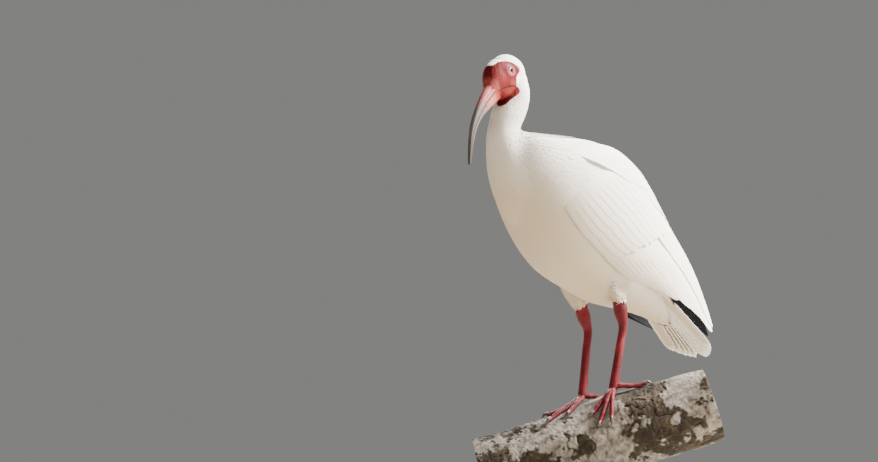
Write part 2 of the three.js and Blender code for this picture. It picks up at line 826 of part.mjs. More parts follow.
const barkRadius = (t, angle) => {
  const swell = 1.4 * Math.sin(t / 31 + 0.6) + 0.9 * Math.sin(t / 13 + 2 * angle);
  const lobes = 1.1 * Math.sin(3 * angle + 0.9 + t / 60) + 0.6 * Math.sin(7 * angle + t / 23);
  return PERCH_RADIUS - t * 0.012 + (swell + lobes) * 0.8;
};
function branchPoint(t, angle, height) {
  const radius = barkRadius(t, angle) + height;
  return BRANCH.centre
    .clone()
    .addScaledVector(BRANCH.along, t)
    .addScaledVector(BRANCH.top, Math.cos(angle) * radius)
    .addScaledVector(BRANCH.far, Math.sin(angle) * radius);
}
function onBranch(p) {
  const d = p.clone().sub(BRANCH.centre);
  return { t: d.dot(BRANCH.along), angle: Math.atan2(d.dot(BRANCH.far), d.dot(BRANCH.top)) };
}

function branchSolid() {
  const rings = [];
  const around = 20;
  const steps = 9;
  for (let i = 0; i <= steps; i += 1) {
    const t = mix(-PERCH_LENGTH / 2, PERCH_LENGTH / 2, i / steps);
    const ring = [];
    for (let j = 0; j < around; j += 1) {
      ring.push(branchPoint(t, (2 * Math.PI * j) / around, 0));
    }
    rings.push(ring);
  }
  return skin(rings);
}

// Each foot's toes: the hind one, the middle one third, and the other two beside it. A heading
// is in the unrolled bark: 0 is up the branch, and negative turns towards the bird's left.
const TOES = {
  left: [
    { heading: rad(2), length: 34, radius: 2.9, arch: 5.5 },
    { heading: rad(-142), length: 37, radius: 2.8, arch: 3.4 },
    { heading: rad(-125), length: 45, radius: 3, arch: 3.4 },
    { heading: rad(-109), length: 38, radius: 2.8, arch: 3.2 },
  ],
  right: [
    { heading: rad(14), length: 31, radius: 2.9, arch: 5 },
    { heading: rad(-122), length: 37, radius: 2.8, arch: 3.2 },
    { heading: rad(-141), length: 53, radius: 3, arch: 3.4 },
    { heading: rad(-163), length: 44, radius: 2.8, arch: 3.4 },
  ],
};
const CLAW_LENGTH = 6.5;

function toeSolid(foot, { heading, length, radius, arch }, grow) {
  const start = onBranch(foot);
  const reach = [0.12, 0.3, 0.5, 0.75, 1];
  const points = [foot.clone()];
  reach.forEach((share) => {
    const run = length * share + (share === 1 ? grow : 0);
    const t = start.t + Math.cos(heading) * run;
    const turn = start.angle + (Math.sin(heading) * run) / PERCH_RADIUS;
    const height = mix(radius * 0.95, radius * 0.75, share) + arch * (1 - smooth(0.05, 0.75, share));
    points.push(branchPoint(t, turn, height));
  });
  const knuckle = (u) => 1 + 0.13 * Math.sin(u * Math.PI * 6);
  const radii = [];
  const steps = 7;
  for (let i = 0; i <= steps; i += 1) {
    const u = i / steps;
    radii.push(radius * mix(1.15, 0.78, u) * knuckle(u) + grow);
  }
  return tube(points, radii, 7);
}

function clawSolid(foot, { heading, length, radius }, grow) {
  const start = onBranch(foot);
  const points = [-2, 2, CLAW_LENGTH * 0.6, CLAW_LENGTH].map((past, i) => {
    const run = length + past + (i === 3 ? grow : 0);
    const t = start.t + Math.cos(heading) * run;
    const turn = start.angle + (Math.sin(heading) * run) / PERCH_RADIUS;
    return branchPoint(t, turn, [radius * 0.85, radius * 1.0, radius * 0.6, -0.6][i]);
  });
  return tube(points, [radius * 0.6, radius * 0.58, radius * 0.42, 0.35].map((r) => r + grow), 5);
}

const FOOT_PAD = [4.4, 5, 5]; // half its height, and its reach along and across the branch
function footSolid(name, grow = 0) {
  const foot = at(LEGS[name].foot);
  const radii = FOOT_PAD.map((radius) => radius + grow);
  const pad = ball(foot, UP, BRANCH.along, BRANCH.far, radii, 10, 6);
  const toes = TOES[name].flatMap((toe) => [toeSolid(foot, toe, grow), clawSolid(foot, toe, grow)]);
  return largest(join([pad, ...toes]));
}

// The stand
function cylinder(radius, from, to) {
  const segments = 18;
  const height = to.distanceTo(from);
  const geometry = new THREE.CylinderGeometry(radius, radius, height, segments);
  geometry.rotateX(Math.PI / 2);
  geometry.translate((from.x + to.x) / 2, (from.y + to.y) / 2, (from.z + to.z) / 2);
  return solidOfGeometry(geometry);
}

function rodSolid(step, grow = 0) {
  const { x, y, z } = BRANCH.centre.clone().addScaledVector(BRANCH.along, step);
  const foot = vec(x, y, BASE_SIZE[2] - ROD_SOCKET - grow);
  const top = vec(x, y, z - PERCH_RADIUS + ROD_SINK + grow);
  return cylinder(ROD_RADIUS + grow, foot, top);
}

const BASE_BEVEL = 2;
function baseSolid() {
  const [length, width, height] = BASE_SIZE;
  const outline = new THREE.Shape();
  const [x, y, r] = [length / 2, width / 2, BASE_CORNER];
  outline.moveTo(-x + r, -y);
  outline.lineTo(x - r, -y);
  outline.absarc(x - r, -y + r, r, -Math.PI / 2, 0);
  outline.absarc(x - r, y - r, r, 0, Math.PI / 2);
  outline.absarc(-x + r, y - r, r, Math.PI / 2, Math.PI);
  outline.absarc(-x + r, -y + r, r, Math.PI, 1.5 * Math.PI);
  const geometry = new THREE.ExtrudeGeometry(outline, {
    depth: height - 2 * BASE_BEVEL,
    curveSegments: 5,
    bevelThickness: BASE_BEVEL,
    bevelSize: BASE_BEVEL,
    bevelOffset: -BASE_BEVEL,
    bevelSegments: 1,
  });
  geometry.translate(0, 0, BASE_BEVEL);
  return solidOfGeometry(geometry);
}

// Build every piece, cut where it meets its neighbours
const bird = new THREE.Group();

const LOOKS = {
  plumage: { color: 0xf2eee4, roughness: 0.85, metalness: 0 },
  face: { color: 0xb84c46, roughness: 0.6, metalness: 0 },
  bill: { color: 0xd89a92, roughness: 0.4, metalness: 0 },
  leg: { color: 0xb8344a, roughness: 0.55, metalness: 0 },
  eye: { color: 0x221a1c, roughness: 0.1, metalness: 0 },
  bark: { color: 0x8d8a80, roughness: 0.95, metalness: 0 },
  stand: { color: 0x2c2b2a, roughness: 0.5, metalness: 0 },
  rod: { color: 0x8a8a88, roughness: 0.3, metalness: 1 },
};

function add(name, solid, look) {
  const mesh = solid.getMesh();
  const geometry = new THREE.BufferGeometry();
  geometry.setAttribute('position', new THREE.BufferAttribute(mesh.vertProperties, 3));
  geometry.setIndex(new THREE.BufferAttribute(mesh.triVerts, 1));
  geometry.computeVertexNormals();
  const made = new THREE.Mesh(geometry, new THREE.MeshStandardMaterial(LOOKS[look]));
  made.name = name;
  bird.add(made);
}

// Body and neck are one form, parted by a slanted cut across the shoulders
const SHOULDER_TILT = rad(40);
const SHOULDER_CUT = {
  point: at([-107, 0, 256]),
  normal: vec(-Math.sin(SHOULDER_TILT), 0, Math.cos(SHOULDER_TILT)),
};
const trunk = join([torsoLoft(), neckLoft()]);
const headLevel = vec(0, 0, STANCE.z + NECK_HEAD_CUT);
const shoulderDown = SHOULDER_CUT.normal.clone().negate();
const shields = [wingShield(-1, GAP), wingShield(1, GAP)];

let torso = beyond(trunk, SHOULDER_CUT.point, shoulderDown);
torso = beyond(torso, bodyPoint(TAIL_CUT, 0, 0), AXIS.clone().negate());
torso = largest(torso.subtract(join(shields)));

let neck = beyond(trunk, SHOULDER_CUT.point, SHOULDER_CUT.normal);
neck = beyond(neck, headLevel, vec(0, 0, -1));
neck = largest(neck.subtract(join(shields)));

let head = join([headSolid(), neckLoft(), lid(-1), lid(1)]);
head = beyond(head, headLevel, UP);
head = beyond(head, BILL_FACE.point, BILL_FACE.along.clone().negate());
head = largest(head.subtract(join([eyeball(-1, GAP), eyeball(1, GAP), gapeCut(-1), gapeCut(1)])));

add('torso', torso, 'plumage');
add('neck', neck, 'plumage');
add('head', head, 'plumage');
add('eye_left', eyeball(1), 'eye');
add('eye_right', eyeball(-1), 'eye');
add('bill_upper', mandible(true), 'bill');
add('bill_lower', mandible(false), 'bill');

const wings = { left: wingSolid(-1), right: wingSolid(1) };
add('wing_left', wings.left, 'plumage');
add('wing_right', wings.right, 'plumage');
add('tail', tailSolid(), 'plumage');

const grownTorso = join([torsoLoft(GAP), ...shields]);
const FOOT_TOP = 4.2; // the leg ends this far above the middle of the foot's pad
Object.entries(LEGS).forEach(([name, leg]) => {
  const bareEnd = at(leg.bare);
  const clear = join([grownTorso, wingRoom(leg.side)]);
  const thigh = beyond(thighLoft(leg).subtract(clear), bareEnd, UP);
  add(`thigh_${name}`, largest(thigh), 'plumage');
  const shank = beyond(shankLoft(leg).subtract(grownTorso), bareEnd, vec(0, 0, -1));
  const footTop = at(leg.foot).addScaledVector(UP, FOOT_TOP);
  add(`leg_${name}`, beyond(shank, footTop, UP), 'leg');
  const socket = beyond(shankLoft(leg, GAP), footTop, UP, -GAP / 2);
  add(`foot_${name}`, largest(footSolid(name).subtract(socket)), 'leg');
});

const rods = [-ROD_STEP, ROD_STEP];
const branch = branchSolid().subtract(
  join([footSolid('left', GAP), footSolid('right', GAP), ...rods.map((step) => rodSolid(step, GAP))]),
);
add('perch', largest(branch), 'bark');
rods.forEach((step, i) => add(`stand_rod_${i + 1}`, rodSolid(step), 'rod'));
add('stand_base', baseSolid().subtract(join(rods.map((step) => rodSolid(step, GAP)))), 'stand');

export default bird;
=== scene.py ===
"""The looks of a life-size white ibis: one skin, a coat of feathers, and what it stands on."""

import math

import bpy
import numpy as np
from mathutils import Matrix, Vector
from mathutils.bvhtree import BVHTree
from mathutils.kdtree import KDTree


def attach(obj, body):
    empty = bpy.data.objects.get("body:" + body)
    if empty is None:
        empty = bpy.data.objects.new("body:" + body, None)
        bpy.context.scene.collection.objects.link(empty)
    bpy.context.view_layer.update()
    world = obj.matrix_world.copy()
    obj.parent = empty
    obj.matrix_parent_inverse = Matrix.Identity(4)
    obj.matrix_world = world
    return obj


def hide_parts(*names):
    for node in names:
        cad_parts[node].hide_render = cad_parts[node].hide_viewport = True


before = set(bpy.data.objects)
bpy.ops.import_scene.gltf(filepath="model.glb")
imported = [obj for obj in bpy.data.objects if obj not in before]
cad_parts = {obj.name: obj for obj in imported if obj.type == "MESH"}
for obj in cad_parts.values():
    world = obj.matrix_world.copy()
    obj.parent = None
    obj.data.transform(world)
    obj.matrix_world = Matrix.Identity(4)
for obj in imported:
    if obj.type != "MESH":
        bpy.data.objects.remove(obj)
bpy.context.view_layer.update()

# Places are in millimetres here, and become metres when a mesh is made
MM = 0.001
SEED = 11

# Driving dimensions, the same as the solids'
STANCE = np.array([12.0, 0.0, 165.0])
BODY_PITCH = math.radians(38)
BODY = STANCE + [-33, 0, 193]
HEAD = STANCE + [-119.5, 0, 322.8]
HEAD_YAW = math.radians(22)
EYE_RADIUS = 5.0
BILL_LENGTH = 105
PERCH_RADIUS = 40
PERCH_LENGTH = 250
PERCH_SLOPE = math.radians(17.5)
PERCH_TURN = math.radians(-40)
PERCH_DROP = 9
BASE_SIZE = (250, 210, 14)
BASE_CORNER = 24
ROD_RADIUS = 5
ROD_SINK = 14
ROD_STEP = 46
ROD_SOCKET = 6

AXIS = np.array([math.cos(BODY_PITCH), 0, -math.sin(BODY_PITCH)])
DORSAL = np.array([math.sin(BODY_PITCH), 0, math.cos(BODY_PITCH)])
LATERAL = np.array([0.0, 1.0, 0.0])
FORWARD = np.array([-math.cos(HEAD_YAW), -math.sin(HEAD_YAW), 0])
LEFT = np.array([math.sin(HEAD_YAW), -math.cos(HEAD_YAW), 0])
UP = np.array([0.0, 0.0, 1.0])


# Numbers and curves

def mix(a, b, t):
    return a + (b - a) * t


def smooth(a, b, x):
    t = np.clip((np.asarray(x, float) - a) / (b - a), 0, 1)
    return t * t * (3 - 2 * t)


def bell(x, middle, width):
    return np.exp(-(((x - middle) / width) ** 2))


def unit(v):
    return v / np.maximum(np.linalg.norm(v, axis=-1, keepdims=True), 1e-9)


def profile(stations):
    """A smooth curve through a few (x, y) stations, flat beyond both ends."""
    xs, ys = np.array(stations, float).T
    slopes = np.empty_like(ys)
    slopes[1:-1] = (ys[2:] - ys[:-2]) / (xs[2:] - xs[:-2])
    slopes[0] = (ys[1] - ys[0]) / (xs[1] - xs[0])
    slopes[-1] = (ys[-1] - ys[-2]) / (xs[-1] - xs[-2])

    def value(x):
        x = np.clip(np.asarray(x, float), xs[0], xs[-1])
        i = np.clip(np.searchsorted(xs, x, side="right") - 1, 0, len(xs) - 2)
        h = xs[i + 1] - xs[i]
        t = (x - xs[i]) / h
        start = ys[i] * (1 + 2 * t) + slopes[i] * h * t
        end = ys[i + 1] * (3 - 2 * t) + slopes[i + 1] * h * (t - 1)
        return start * (1 - t) ** 2 + end * t**2

    return value


def even_profile(values):
    """A smooth curve through values at even shares from 0 to 1."""
    return profile(list(zip(np.linspace(0, 1, len(values)), values)))


def spline(points):
    """A centripetal Catmull-Rom curve, as a function of shares from 0 to 1."""
    p = np.asarray(points, float)
    p = np.vstack([2 * p[0] - p[1], p, 2 * p[-1] - p[-2]])
    spans = len(p) - 3

    def at(share):
        u = np.atleast_1d(np.asarray(share, float)) * spans
        i = np.clip(np.floor(u).astype(int), 0, spans - 1)
        w = (u - i)[:, None]
        p0, p1, p2, p3 = p[i], p[i + 1], p[i + 2], p[i + 3]
        d0, d1, d2 = [
            np.sqrt(np.linalg.norm(b - a, axis=1, keepdims=True))
            for a, b in ((p0, p1), (p1, p2), (p2, p3))
        ]
        t1 = ((p1 - p0) / d0 - (p2 - p0) / (d0 + d1) + (p2 - p1) / d1) * d1
        t2 = ((p2 - p1) / d1 - (p3 - p1) / (d1 + d2) + (p3 - p2) / d2) * d1
        square = -3 * p1 + 3 * p2 - 2 * t1 - t2
        cube = 2 * p1 - 2 * p2 + t1 + t2
        return p1 + t1 * w + square * w**2 + cube * w**3

    return at


def tangent(curve, share):
    share = np.atleast_1d(np.asarray(share, float))
    low = np.clip(share - 0.002, 0, 1)
    high = np.clip(share + 0.002, 0, 1)
    return unit(curve(high) - curve(low))


def hashed(ix, iy, iz, seed):
    h = (ix * 374761393 + iy * 668265263 + iz * 1440662683 + seed * 974634777) & 0xFFFFFFFF
    h = ((h ^ (h >> 13)) * 1274126177) & 0xFFFFFFFF
    return ((h ^ (h >> 16)) & 0xFFFF) / 32767.5 - 1


def noise(points, size, seed=0, octaves=1):
    """Smooth noise from -1 to 1 over points, with lumps of about the given size."""
    total = np.zeros(len(points))
    weight = 1.0
    for octave in range(octaves):
        p = np.asarray(points) / (size / 2**octave) + 31.7 * octave
        i = np.floor(p).astype(np.int64)
        f = p - i
        f = f * f * (3 - 2 * f)
        value = 0
        for corner in range(8):
            d = [(corner >> k) & 1 for k in range(3)]
            share = np.prod([f[:, k] if d[k] else 1 - f[:, k] for k in range(3)], axis=0)
            value = value + share * hashed(*(i[:, k] + d[k] for k in range(3)), seed + octave)
        total += weight * value
        weight *= 0.5
    return total


# Meshes

def mesh_object(name, points, *face_sets):
    """A smooth-shaded mesh object, from points in millimetres and arrays of equal-sided faces."""
    mesh = bpy.data.meshes.new(name)
    face_sets = [np.asarray(faces, np.int32) for faces in face_sets if len(faces)]
    sides = np.concatenate([np.full(len(f), f.shape[1]) for f in face_sets])
    corners = np.concatenate([f.ravel() for f in face_sets])
    mesh.vertices.add(len(points))
    mesh.vertices.foreach_set("co", (np.asarray(points) * MM).astype(np.float32).ravel())
    mesh.loops.add(len(corners))
    mesh.loops.foreach_set("vertex_index", corners)
    mesh.polygons.add(len(sides))
    mesh.polygons.foreach_set("loop_start", np.concatenate([[0], np.cumsum(sides)[:-1]]).astype(np.int32))
    mesh.polygons.foreach_set("use_smooth", np.ones(len(sides), bool))
    mesh.update(calc_edges=True)
    obj = bpy.data.objects.new(name, mesh)
    bpy.context.scene.collection.objects.link(obj)
    return obj


def read(items, key, width, kind=np.float32):
    """One value or vector for each of a mesh's items, as rows of the given width."""
    values = np.empty(len(items) * width, kind)
    items.foreach_get(key, values)
    return values.reshape(-1, width)


def points_of(obj):
    return read(obj.data.vertices, "co", 3).astype(float) / MM


def normals_of(obj):
    return read(obj.data.vertex_normals, "vector", 3).astype(float)


def move_points(obj, points):
    obj.data.vertices.foreach_set("co", (points * MM).astype(np.float32).ravel())
    obj.data.update()


def paint(obj, name, values):
    """Stores a colour, or one number, at each vertex."""
    values = np.asarray(values, np.float32)
    if values.ndim == 1:
        obj.data.attributes.new(name, "FLOAT", "POINT").data.foreach_set("value", values)
        return
    colours = np.column_stack([values, np.ones(len(values), np.float32)])
    obj.data.attributes.new(name, "FLOAT_COLOR", "POINT").data.foreach_set("color", colours.ravel())


def tube_mesh(rings):
    """Points and faces of a closed skin through rings of equally many points."""
    count, around = rings.shape[:2]
    points = np.vstack([rings.reshape(-1, 3), rings[0].mean(0), rings[-1].mean(0)])
    i, j = np.meshgrid(np.arange(count - 1), np.arange(around), indexing="ij")
    k = (j + 1) % around
    quads = np.stack([i * around + j, i * around + k, (i + 1) * around + k, (i + 1) * around + j], -1)
    j = np.arange(around)
    k = (j + 1) % around
    last = (count - 1) * around
    start = np.stack([k, j, np.full(around, count * around)], -1)
    end = np.stack([last + j, last + k, np.full(around, count * around + 1)], -1)
    quads, fans = quads.reshape(-1, 4), np.vstack([start, end])
    if volume(points, quads) + volume(points, fans) < 0:
        quads, fans = quads[:, ::-1], fans[:, ::-1]
    return points, quads, fans


def volume(points, faces):
    """The signed volume under faces, which is negative where they face inwards."""
    middle = points.mean(0)
    corners = [points[faces[:, k]] - middle for k in range(faces.shape[1])]
    total = 0.0
    for b, c in zip(corners[1:], corners[2:]):
        total += (corners[0] * np.cross(b, c)).sum()
    return total


def section(c, x, z, w, t, b, power, around):
    """A ring of points: half-width w, heights t above and b below the centre."""
    angle = 2 * np.pi * np.arange(around) / around
    cos, sin = np.cos(angle), np.sin(angle)
    across = np.sign(cos) * np.abs(cos) ** (2 / power) * w
    rise = np.sign(sin) * np.abs(sin) ** (2 / power) * np.where(sin > 0, t, b)
    return c + across[:, None] * x + rise[:, None] * z


def oval(c, x, z, w, h, around):
    return section(c, x, z, w, h, h, 2, around)


def round_tube(curve, radii, around, count):
    """Rings along a curve, with radii given at even shares of it."""
    shares = np.linspace(0, 1, count)
    rings = []
    for c, t, r in zip(curve(shares), tangent(curve, shares), even_profile(radii)(shares)):
        x = unit(np.cross(LATERAL if abs(t[2]) > 0.9 else UP, t))
        rings.append(oval(c, x, unit(np.cross(t, x)), r, r, around))
    return np.array(rings)


def ball(centre, axes, radii, around, rows):
    rings = []
    for turn in np.pi * np.arange(1, rows) / rows:
        scale = math.sin(turn)
        c = centre - axes[0] * math.cos(turn) * radii[0]
        rings.append(oval(c, axes[1], axes[2], radii[1] * scale, radii[2] * scale, around))
    return np.array(rings)


def tubes_object(name, shells):
    """A mesh object of closed tubes, each given as rings."""
    points, quads, fans, start = [], [], [], 0
    for rings in shells:
        p, q, f = tube_mesh(rings)
        points.append(p)
        quads.append(q + start)
        fans.append(f + start)
        start += len(p)
    return mesh_object(name, np.vstack(points), np.vstack(quads), np.vstack(fans))


def fused(name, shells, voxel, relax):
    """One closed surface round overlapping tubes."""
    obj = tubes_object(name, shells)
    remesh = obj.modifiers.new("remesh", "REMESH")
    remesh.mode = "VOXEL"
    remesh.voxel_size = voxel * MM
    soften = obj.modifiers.new("soften", "SMOOTH")
    soften.factor = 0.5
    soften.iterations = relax
    return apply_modifiers(obj)


def apply_modifiers(obj):
    made = bpy.data.meshes.new_from_object(obj.evaluated_get(bpy.context.evaluated_depsgraph_get()))
    old = obj.data
    obj.modifiers.clear()
    obj.data = made
    made.name = obj.name
    bpy.data.meshes.remove(old)
    made.polygons.foreach_set("use_smooth", np.ones(len(made.polygons), bool))
    made.update()
    return obj


# Materials

def material(name, roughness=0.6, **inputs):
    made = bpy.data.materials.new(name)
    made.use_nodes = True
    shader = made.node_tree.nodes["Principled BSDF"]
    shader.inputs["Roughness"].default_value = roughness
    for key, value in inputs.items():
        shader.inputs[key.replace("_", " ")].default_value = value
    return made


class Nodes:
    """Short calls for a material's node tree."""

    def __init__(self, made):
        self.tree = made.node_tree
        self.shader = self.tree.nodes["Principled BSDF"]

    def add(self, kind, **values):
        node = self.tree.nodes.new(kind)
        for key, value in values.items():
            if key in node.inputs:
                node.inputs[key].default_value = value
            else:
                setattr(node, key, value)
        return node

    def link(self, source, target):
        self.tree.links.new(source, target)

    def base(self, colour):
        self.link(colour, self.shader.inputs["Base Color"])

    def attribute(self, name, output="Fac"):
        return self.add("ShaderNodeAttribute", attribute_name=name).outputs[output]

    def texture(self, kind, **values):
        """A texture that follows the object's own places."""
        place = self.add("ShaderNodeTexCoord")
        node = self.add(kind, **values)
        self.link(place.outputs["Object"], node.inputs["Vector"])
        return node

    def noise(self, scale, detail, distortion=0.0):
        values = {"Scale": scale, "Detail": detail, "Distortion": distortion}
        return self.texture("ShaderNodeTexNoise", **values).outputs["Fac"]

    def mix(self, factor, a, b, blend="MIX"):
        node = self.add("ShaderNodeMix", data_type="RGBA", blend_type=blend)
        for socket, value in zip((node.inputs[0], node.inputs[6], node.inputs[7]), (factor, a, b)):
            if hasattr(value, "links"):
                self.link(value, socket)
            else:
                socket.default_value = value
        return node.outputs[2]

    def ramp(self, source, *stops):
        node = self.add("ShaderNodeValToRGB")
        elements = node.color_ramp.elements
        while len(elements) < len(stops):
            elements.new(0.5)
        for element, (place, colour) in zip(elements, stops):
            element.position = place
            element.color = (*colour, 1)
        self.link(source, node.inputs[0])
        return node.outputs[0]

    def times(self, source, factor):
        node = self.add("ShaderNodeMath", operation="MULTIPLY")
        self.link(source, node.inputs[0])
        node.inputs[1].default_value = factor
        return node.outputs[0]

    def bump(self, source, strength, distance):
        node = self.add("ShaderNodeBump", Strength=strength, Distance=distance)
        self.link(source, node.inputs["Height"])
        self.link(node.outputs["Normal"], self.shader.inputs["Normal"])


def finish_piece(obj, made, slot, *nodes):
    obj.data.materials.clear()
    obj.data.materials.append(made)
    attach(obj, "root")
    if nodes:
        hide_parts(*nodes)
    return obj


# The body frame: a runs towards the tail, y to the bird's right, h towards the back

def body_point(a, y, h):
    a, y, h = np.broadcast_arrays(*(np.asarray(v, float)[..., None] for v in (a, y, h)))
    return BODY + a * AXIS + y * LATERAL + h * DORSAL


def body_coords(p):
    d = p - BODY
    return d @ AXIS, d @ LATERAL, d @ DORSAL


OUTER_WIDTH = profile([
    (-112, 2), (-92, 33), (-70, 46), (-35, 57), (10, 60), (60, 56), (115, 44), (165, 33), (229, 15),
])
OUTER_TOP = profile([
    (-112, 2), (-86, 23), (-49, 53), (-10, 75), (25, 81.5), (50, 78), (89, 69), (152, 57), (200, 40),
    (229, 27),
])
OUTER_BASE = profile([
    (-112, 2), (-89, 42), (-39, 69), (10, 80), (56, 71), (80, 64), (122, 41), (165, 26), (229, 9),
])
TORSO_WIDTH = profile([
    (-112, 4), (-92, 33), (-70, 46), (-35, 56), (10, 57), (50, 51), (90, 37), (125, 25), (150, 17),
])
TORSO_TOP = profile([
    (-112, 4), (-86, 23), (-49, 53), (-10, 75), (25, 80), (50, 74), (89, 54), (125, 31), (150, 18),
])
TORSO_BASE = profile([
    (-112, 4), (-89, 42), (-39, 69), (10, 80), (56, 71), (80, 64), (122, 40), (150, 26),
])
TORSO_ENDS = (-112, 150)
BODY_POWER = 2.08
TAIL_CUT = 121

# How far the skin lies inside the solids, which have the coat's outline
COAT_DEPTH = 1.9
NECK_COAT_DEPTH = 1.3


def torso_rings():
    rings = []
    for share in np.linspace(0, 1, 70):
        a = mix(TORSO_ENDS[0] + COAT_DEPTH, TORSO_ENDS[1] - COAT_DEPTH, share**1.2)
        w, t, b = (max(1.0, float(f(a)) - COAT_DEPTH) for f in (TORSO_WIDTH, TORSO_TOP, TORSO_BASE))
        rings.append(section(body_point(a, 0, 0), LATERAL, DORSAL, w, t, b, BODY_POWER, 96))
    return np.array(rings)


# The neck, from inside the breast to inside the head: x, z, half-width, half-depth
NECK = np.array([
    (-84, 190, 30, 34), (-101, 212, 31, 34), (-114, 230, 27, 28), (-122, 245, 21.5, 21.5),
    (-126, 258, 17.5, 17.5), (-123, 269, 16.5, 17.2), (-118, 280, 16.8, 17.8),
    (-112.5, 292, 16.5, 17.8), (-110, 304, 16, 17.6), (-112.5, 316, 14.6, 16.6), (-115, 328, 11, 13),
])
NECK_CURVE = spline(STANCE + np.column_stack([NECK[:, 0], np.zeros(len(NECK)), NECK[:, 1]]))
NECK_WIDTH = even_profile(NECK[:, 2])
NECK_DEPTH = even_profile(NECK[:, 3])
# The share of the neck's path from which the head's own shell follows it too
HEAD_NECK_FROM = 0.62


def neck_rings(start=0.0):
    rings = []
    for share in np.linspace(start, 1, 60):
        z = unit(np.cross(LATERAL, tangent(NECK_CURVE, share)[0]))
        w, d = (float(size(share)) - NECK_COAT_DEPTH for size in (NECK_WIDTH, NECK_DEPTH))
        rings.append(oval(NECK_CURVE(share)[0], LATERAL, z, w, d, 64))
    return np.array(rings)


# The head frame: f forward, l to the head's left, u up

def head_point(f, l, u):
    f, l, u = np.broadcast_arrays(*(np.asarray(v, float)[..., None] for v in (f, l, u)))
    return HEAD + f * FORWARD + l * LEFT + u * UP


def head_coords(p):
    d = p - HEAD
    return d @ FORWARD, d @ LEFT, d @ UP


EYE = (14.6, 9.9, 0.0)
BILL_ROOT = (21.5, -18.0)
# The face's sections: places forward and up, slope in degrees, half-width, height above and below
FACE = [
    (0, -3, 10, 14.6, 15, 20), (7, -4, 16, 15.2, 16.5, 22), (14, -5.5, 22, 14.8, 17, 23.2),
    (20, -8, 28, 13.4, 17.3, 23), (25.5, -11.6, 34, 11.6, 16.6, 21.5), (30, -15.8, 38, 9.8, 13, 17.5),
    (33, -20.5, 41, 8.0, 9.5, 13.5), (36, -25.5, 42, 5.8, 7.2, 9),
]
FACE_POWER = 2.12
CROWN_COAT_DEPTH = 1.0
# The crown, and the brow and nape that fill the dips between it and the face and neck: centre, radii,
# points round and rows
HEAD_BALLS = [
    ((-1, 0, 1), [radius - CROWN_COAT_DEPTH for radius in (25.5, 16.6, 19.4)], 72, 48),
    ((19, 0, 3.6), (10.5, 10.5, 7.6), 60, 40),
    ((-12, 0, -7), (15, 15, 16), 60, 40),
]


def tilted(angle):
    return FORWARD * math.cos(angle) - UP * math.sin(angle)


def above(angle):
    return FORWARD * math.sin(angle) + UP * math.cos(angle)


def head_shells():
    columns = [even_profile(column) for column in np.array(FACE, float).T]
    face = []
    for share in np.linspace(0, 1, 48):
        f, u, angle, w, t, b = (float(column(share)) for column in columns)
        up = above(math.radians(angle))
        face.append(section(head_point(f, 0, u), LEFT, up, w, t, b, FACE_POWER, 72))
    axes = (FORWARD, LEFT, UP)
    balls = [ball(head_point(*centre), axes, *sizes) for centre, *sizes in HEAD_BALLS]
    return balls + [np.array(face)]


# Legs, from the stance
LEGS = {
    "left": {
        "hip": (-10, -36, 158), "knee": (3.5, -34, 124), "bare": (6.5, -26, 103),
        "ankle": (14.6, -24, 67), "foot": (4, -20, 3),
    },
    "right": {
        "hip": (-16, 36, 154), "knee": (-5.5, 34, 118), "bare": (-2.5, 26, 97),
        "ankle": (7.5, 24, 65), "foot": (-4, 20, -3),
    },
}
THIGH_RADII = (30, 29.5, 27.5, 23.5, 19.5, 15.6, 12.4, 9.8)
THIGH_PAST = 5
THIGH_COAT_DEPTH = 1.6
# The share of the body's outline that a thigh may fill, below and above the wing's lower edge, and
# the angles in degrees where the one becomes the other
THIGH_ROOM = (1.5, 0.84)
THIGH_ROOM_ANGLES = (-74, -40)
SHANK_RADII = (5.2, 5.1, 5.5, 6.5, 7.2, 6.2, 4.9, 4.4, 4.2, 4.3, 4.5, 4.9)


def thigh_rings(leg):
    hip, knee, bare = (STANCE + leg[joint] for joint in ("hip", "knee", "bare"))
    curve = spline([hip, knee, bare + THIGH_PAST * unit(bare - knee)])
    rings = round_tube(curve, [radius - THIGH_COAT_DEPTH for radius in THIGH_RADII], 40, 40)
    a, y, h = body_coords(rings.reshape(-1, 3))
    out = y / OUTER_WIDTH(a)
    rise = h / np.where(h > 0, OUTER_TOP(a), OUTER_BASE(a))
    angle = np.degrees(np.arctan2(rise, np.abs(out)))
    room = mix(*THIGH_ROOM, smooth(*THIGH_ROOM_ANGLES, angle))
    shrink = np.minimum(1, room / np.hypot(out, rise))
    return body_point(a, y * shrink, h * shrink).reshape(rings.shape)


# The coverts round the tail's root: where they end, how far they sink, and half sizes at the end
COVERTS = {"end": 178, "sink": 11, "width": 18, "top": 8, "base": 13}


def covert_rings():
    rings = []
    for t in np.linspace(0, 1, 30):
        fade = math.sqrt(1 - (0.97 * t) ** 2)
        w = mix(float(TORSO_WIDTH(TAIL_CUT)), COVERTS["width"], t) * mix(1, fade, 0.8) - COAT_DEPTH
        top = mix(float(TORSO_TOP(TAIL_CUT)), COVERTS["top"], t) * fade - COAT_DEPTH
        base = mix(float(TORSO_BASE(TAIL_CUT)) - 1, COVERTS["base"], t) * fade - COAT_DEPTH
        c = body_point(mix(TAIL_CUT - 12, COVERTS["end"] - COAT_DEPTH, t), 0, mix(-1, -COVERTS["sink"], t))
        rings.append(section(c, LATERAL, DORSAL, max(w, 1), max(top, 1), max(base, 1), BODY_POWER, 64))
    return np.array(rings)


# The closed wing's bulk under its feathers, which the skin takes in
WING_PAD = {"front": -66, "back": 92, "low": -36, "high": 78, "top": -1.5, "bevel": 2.5, "depth": 9}
WING_PAD_POINTS = 30


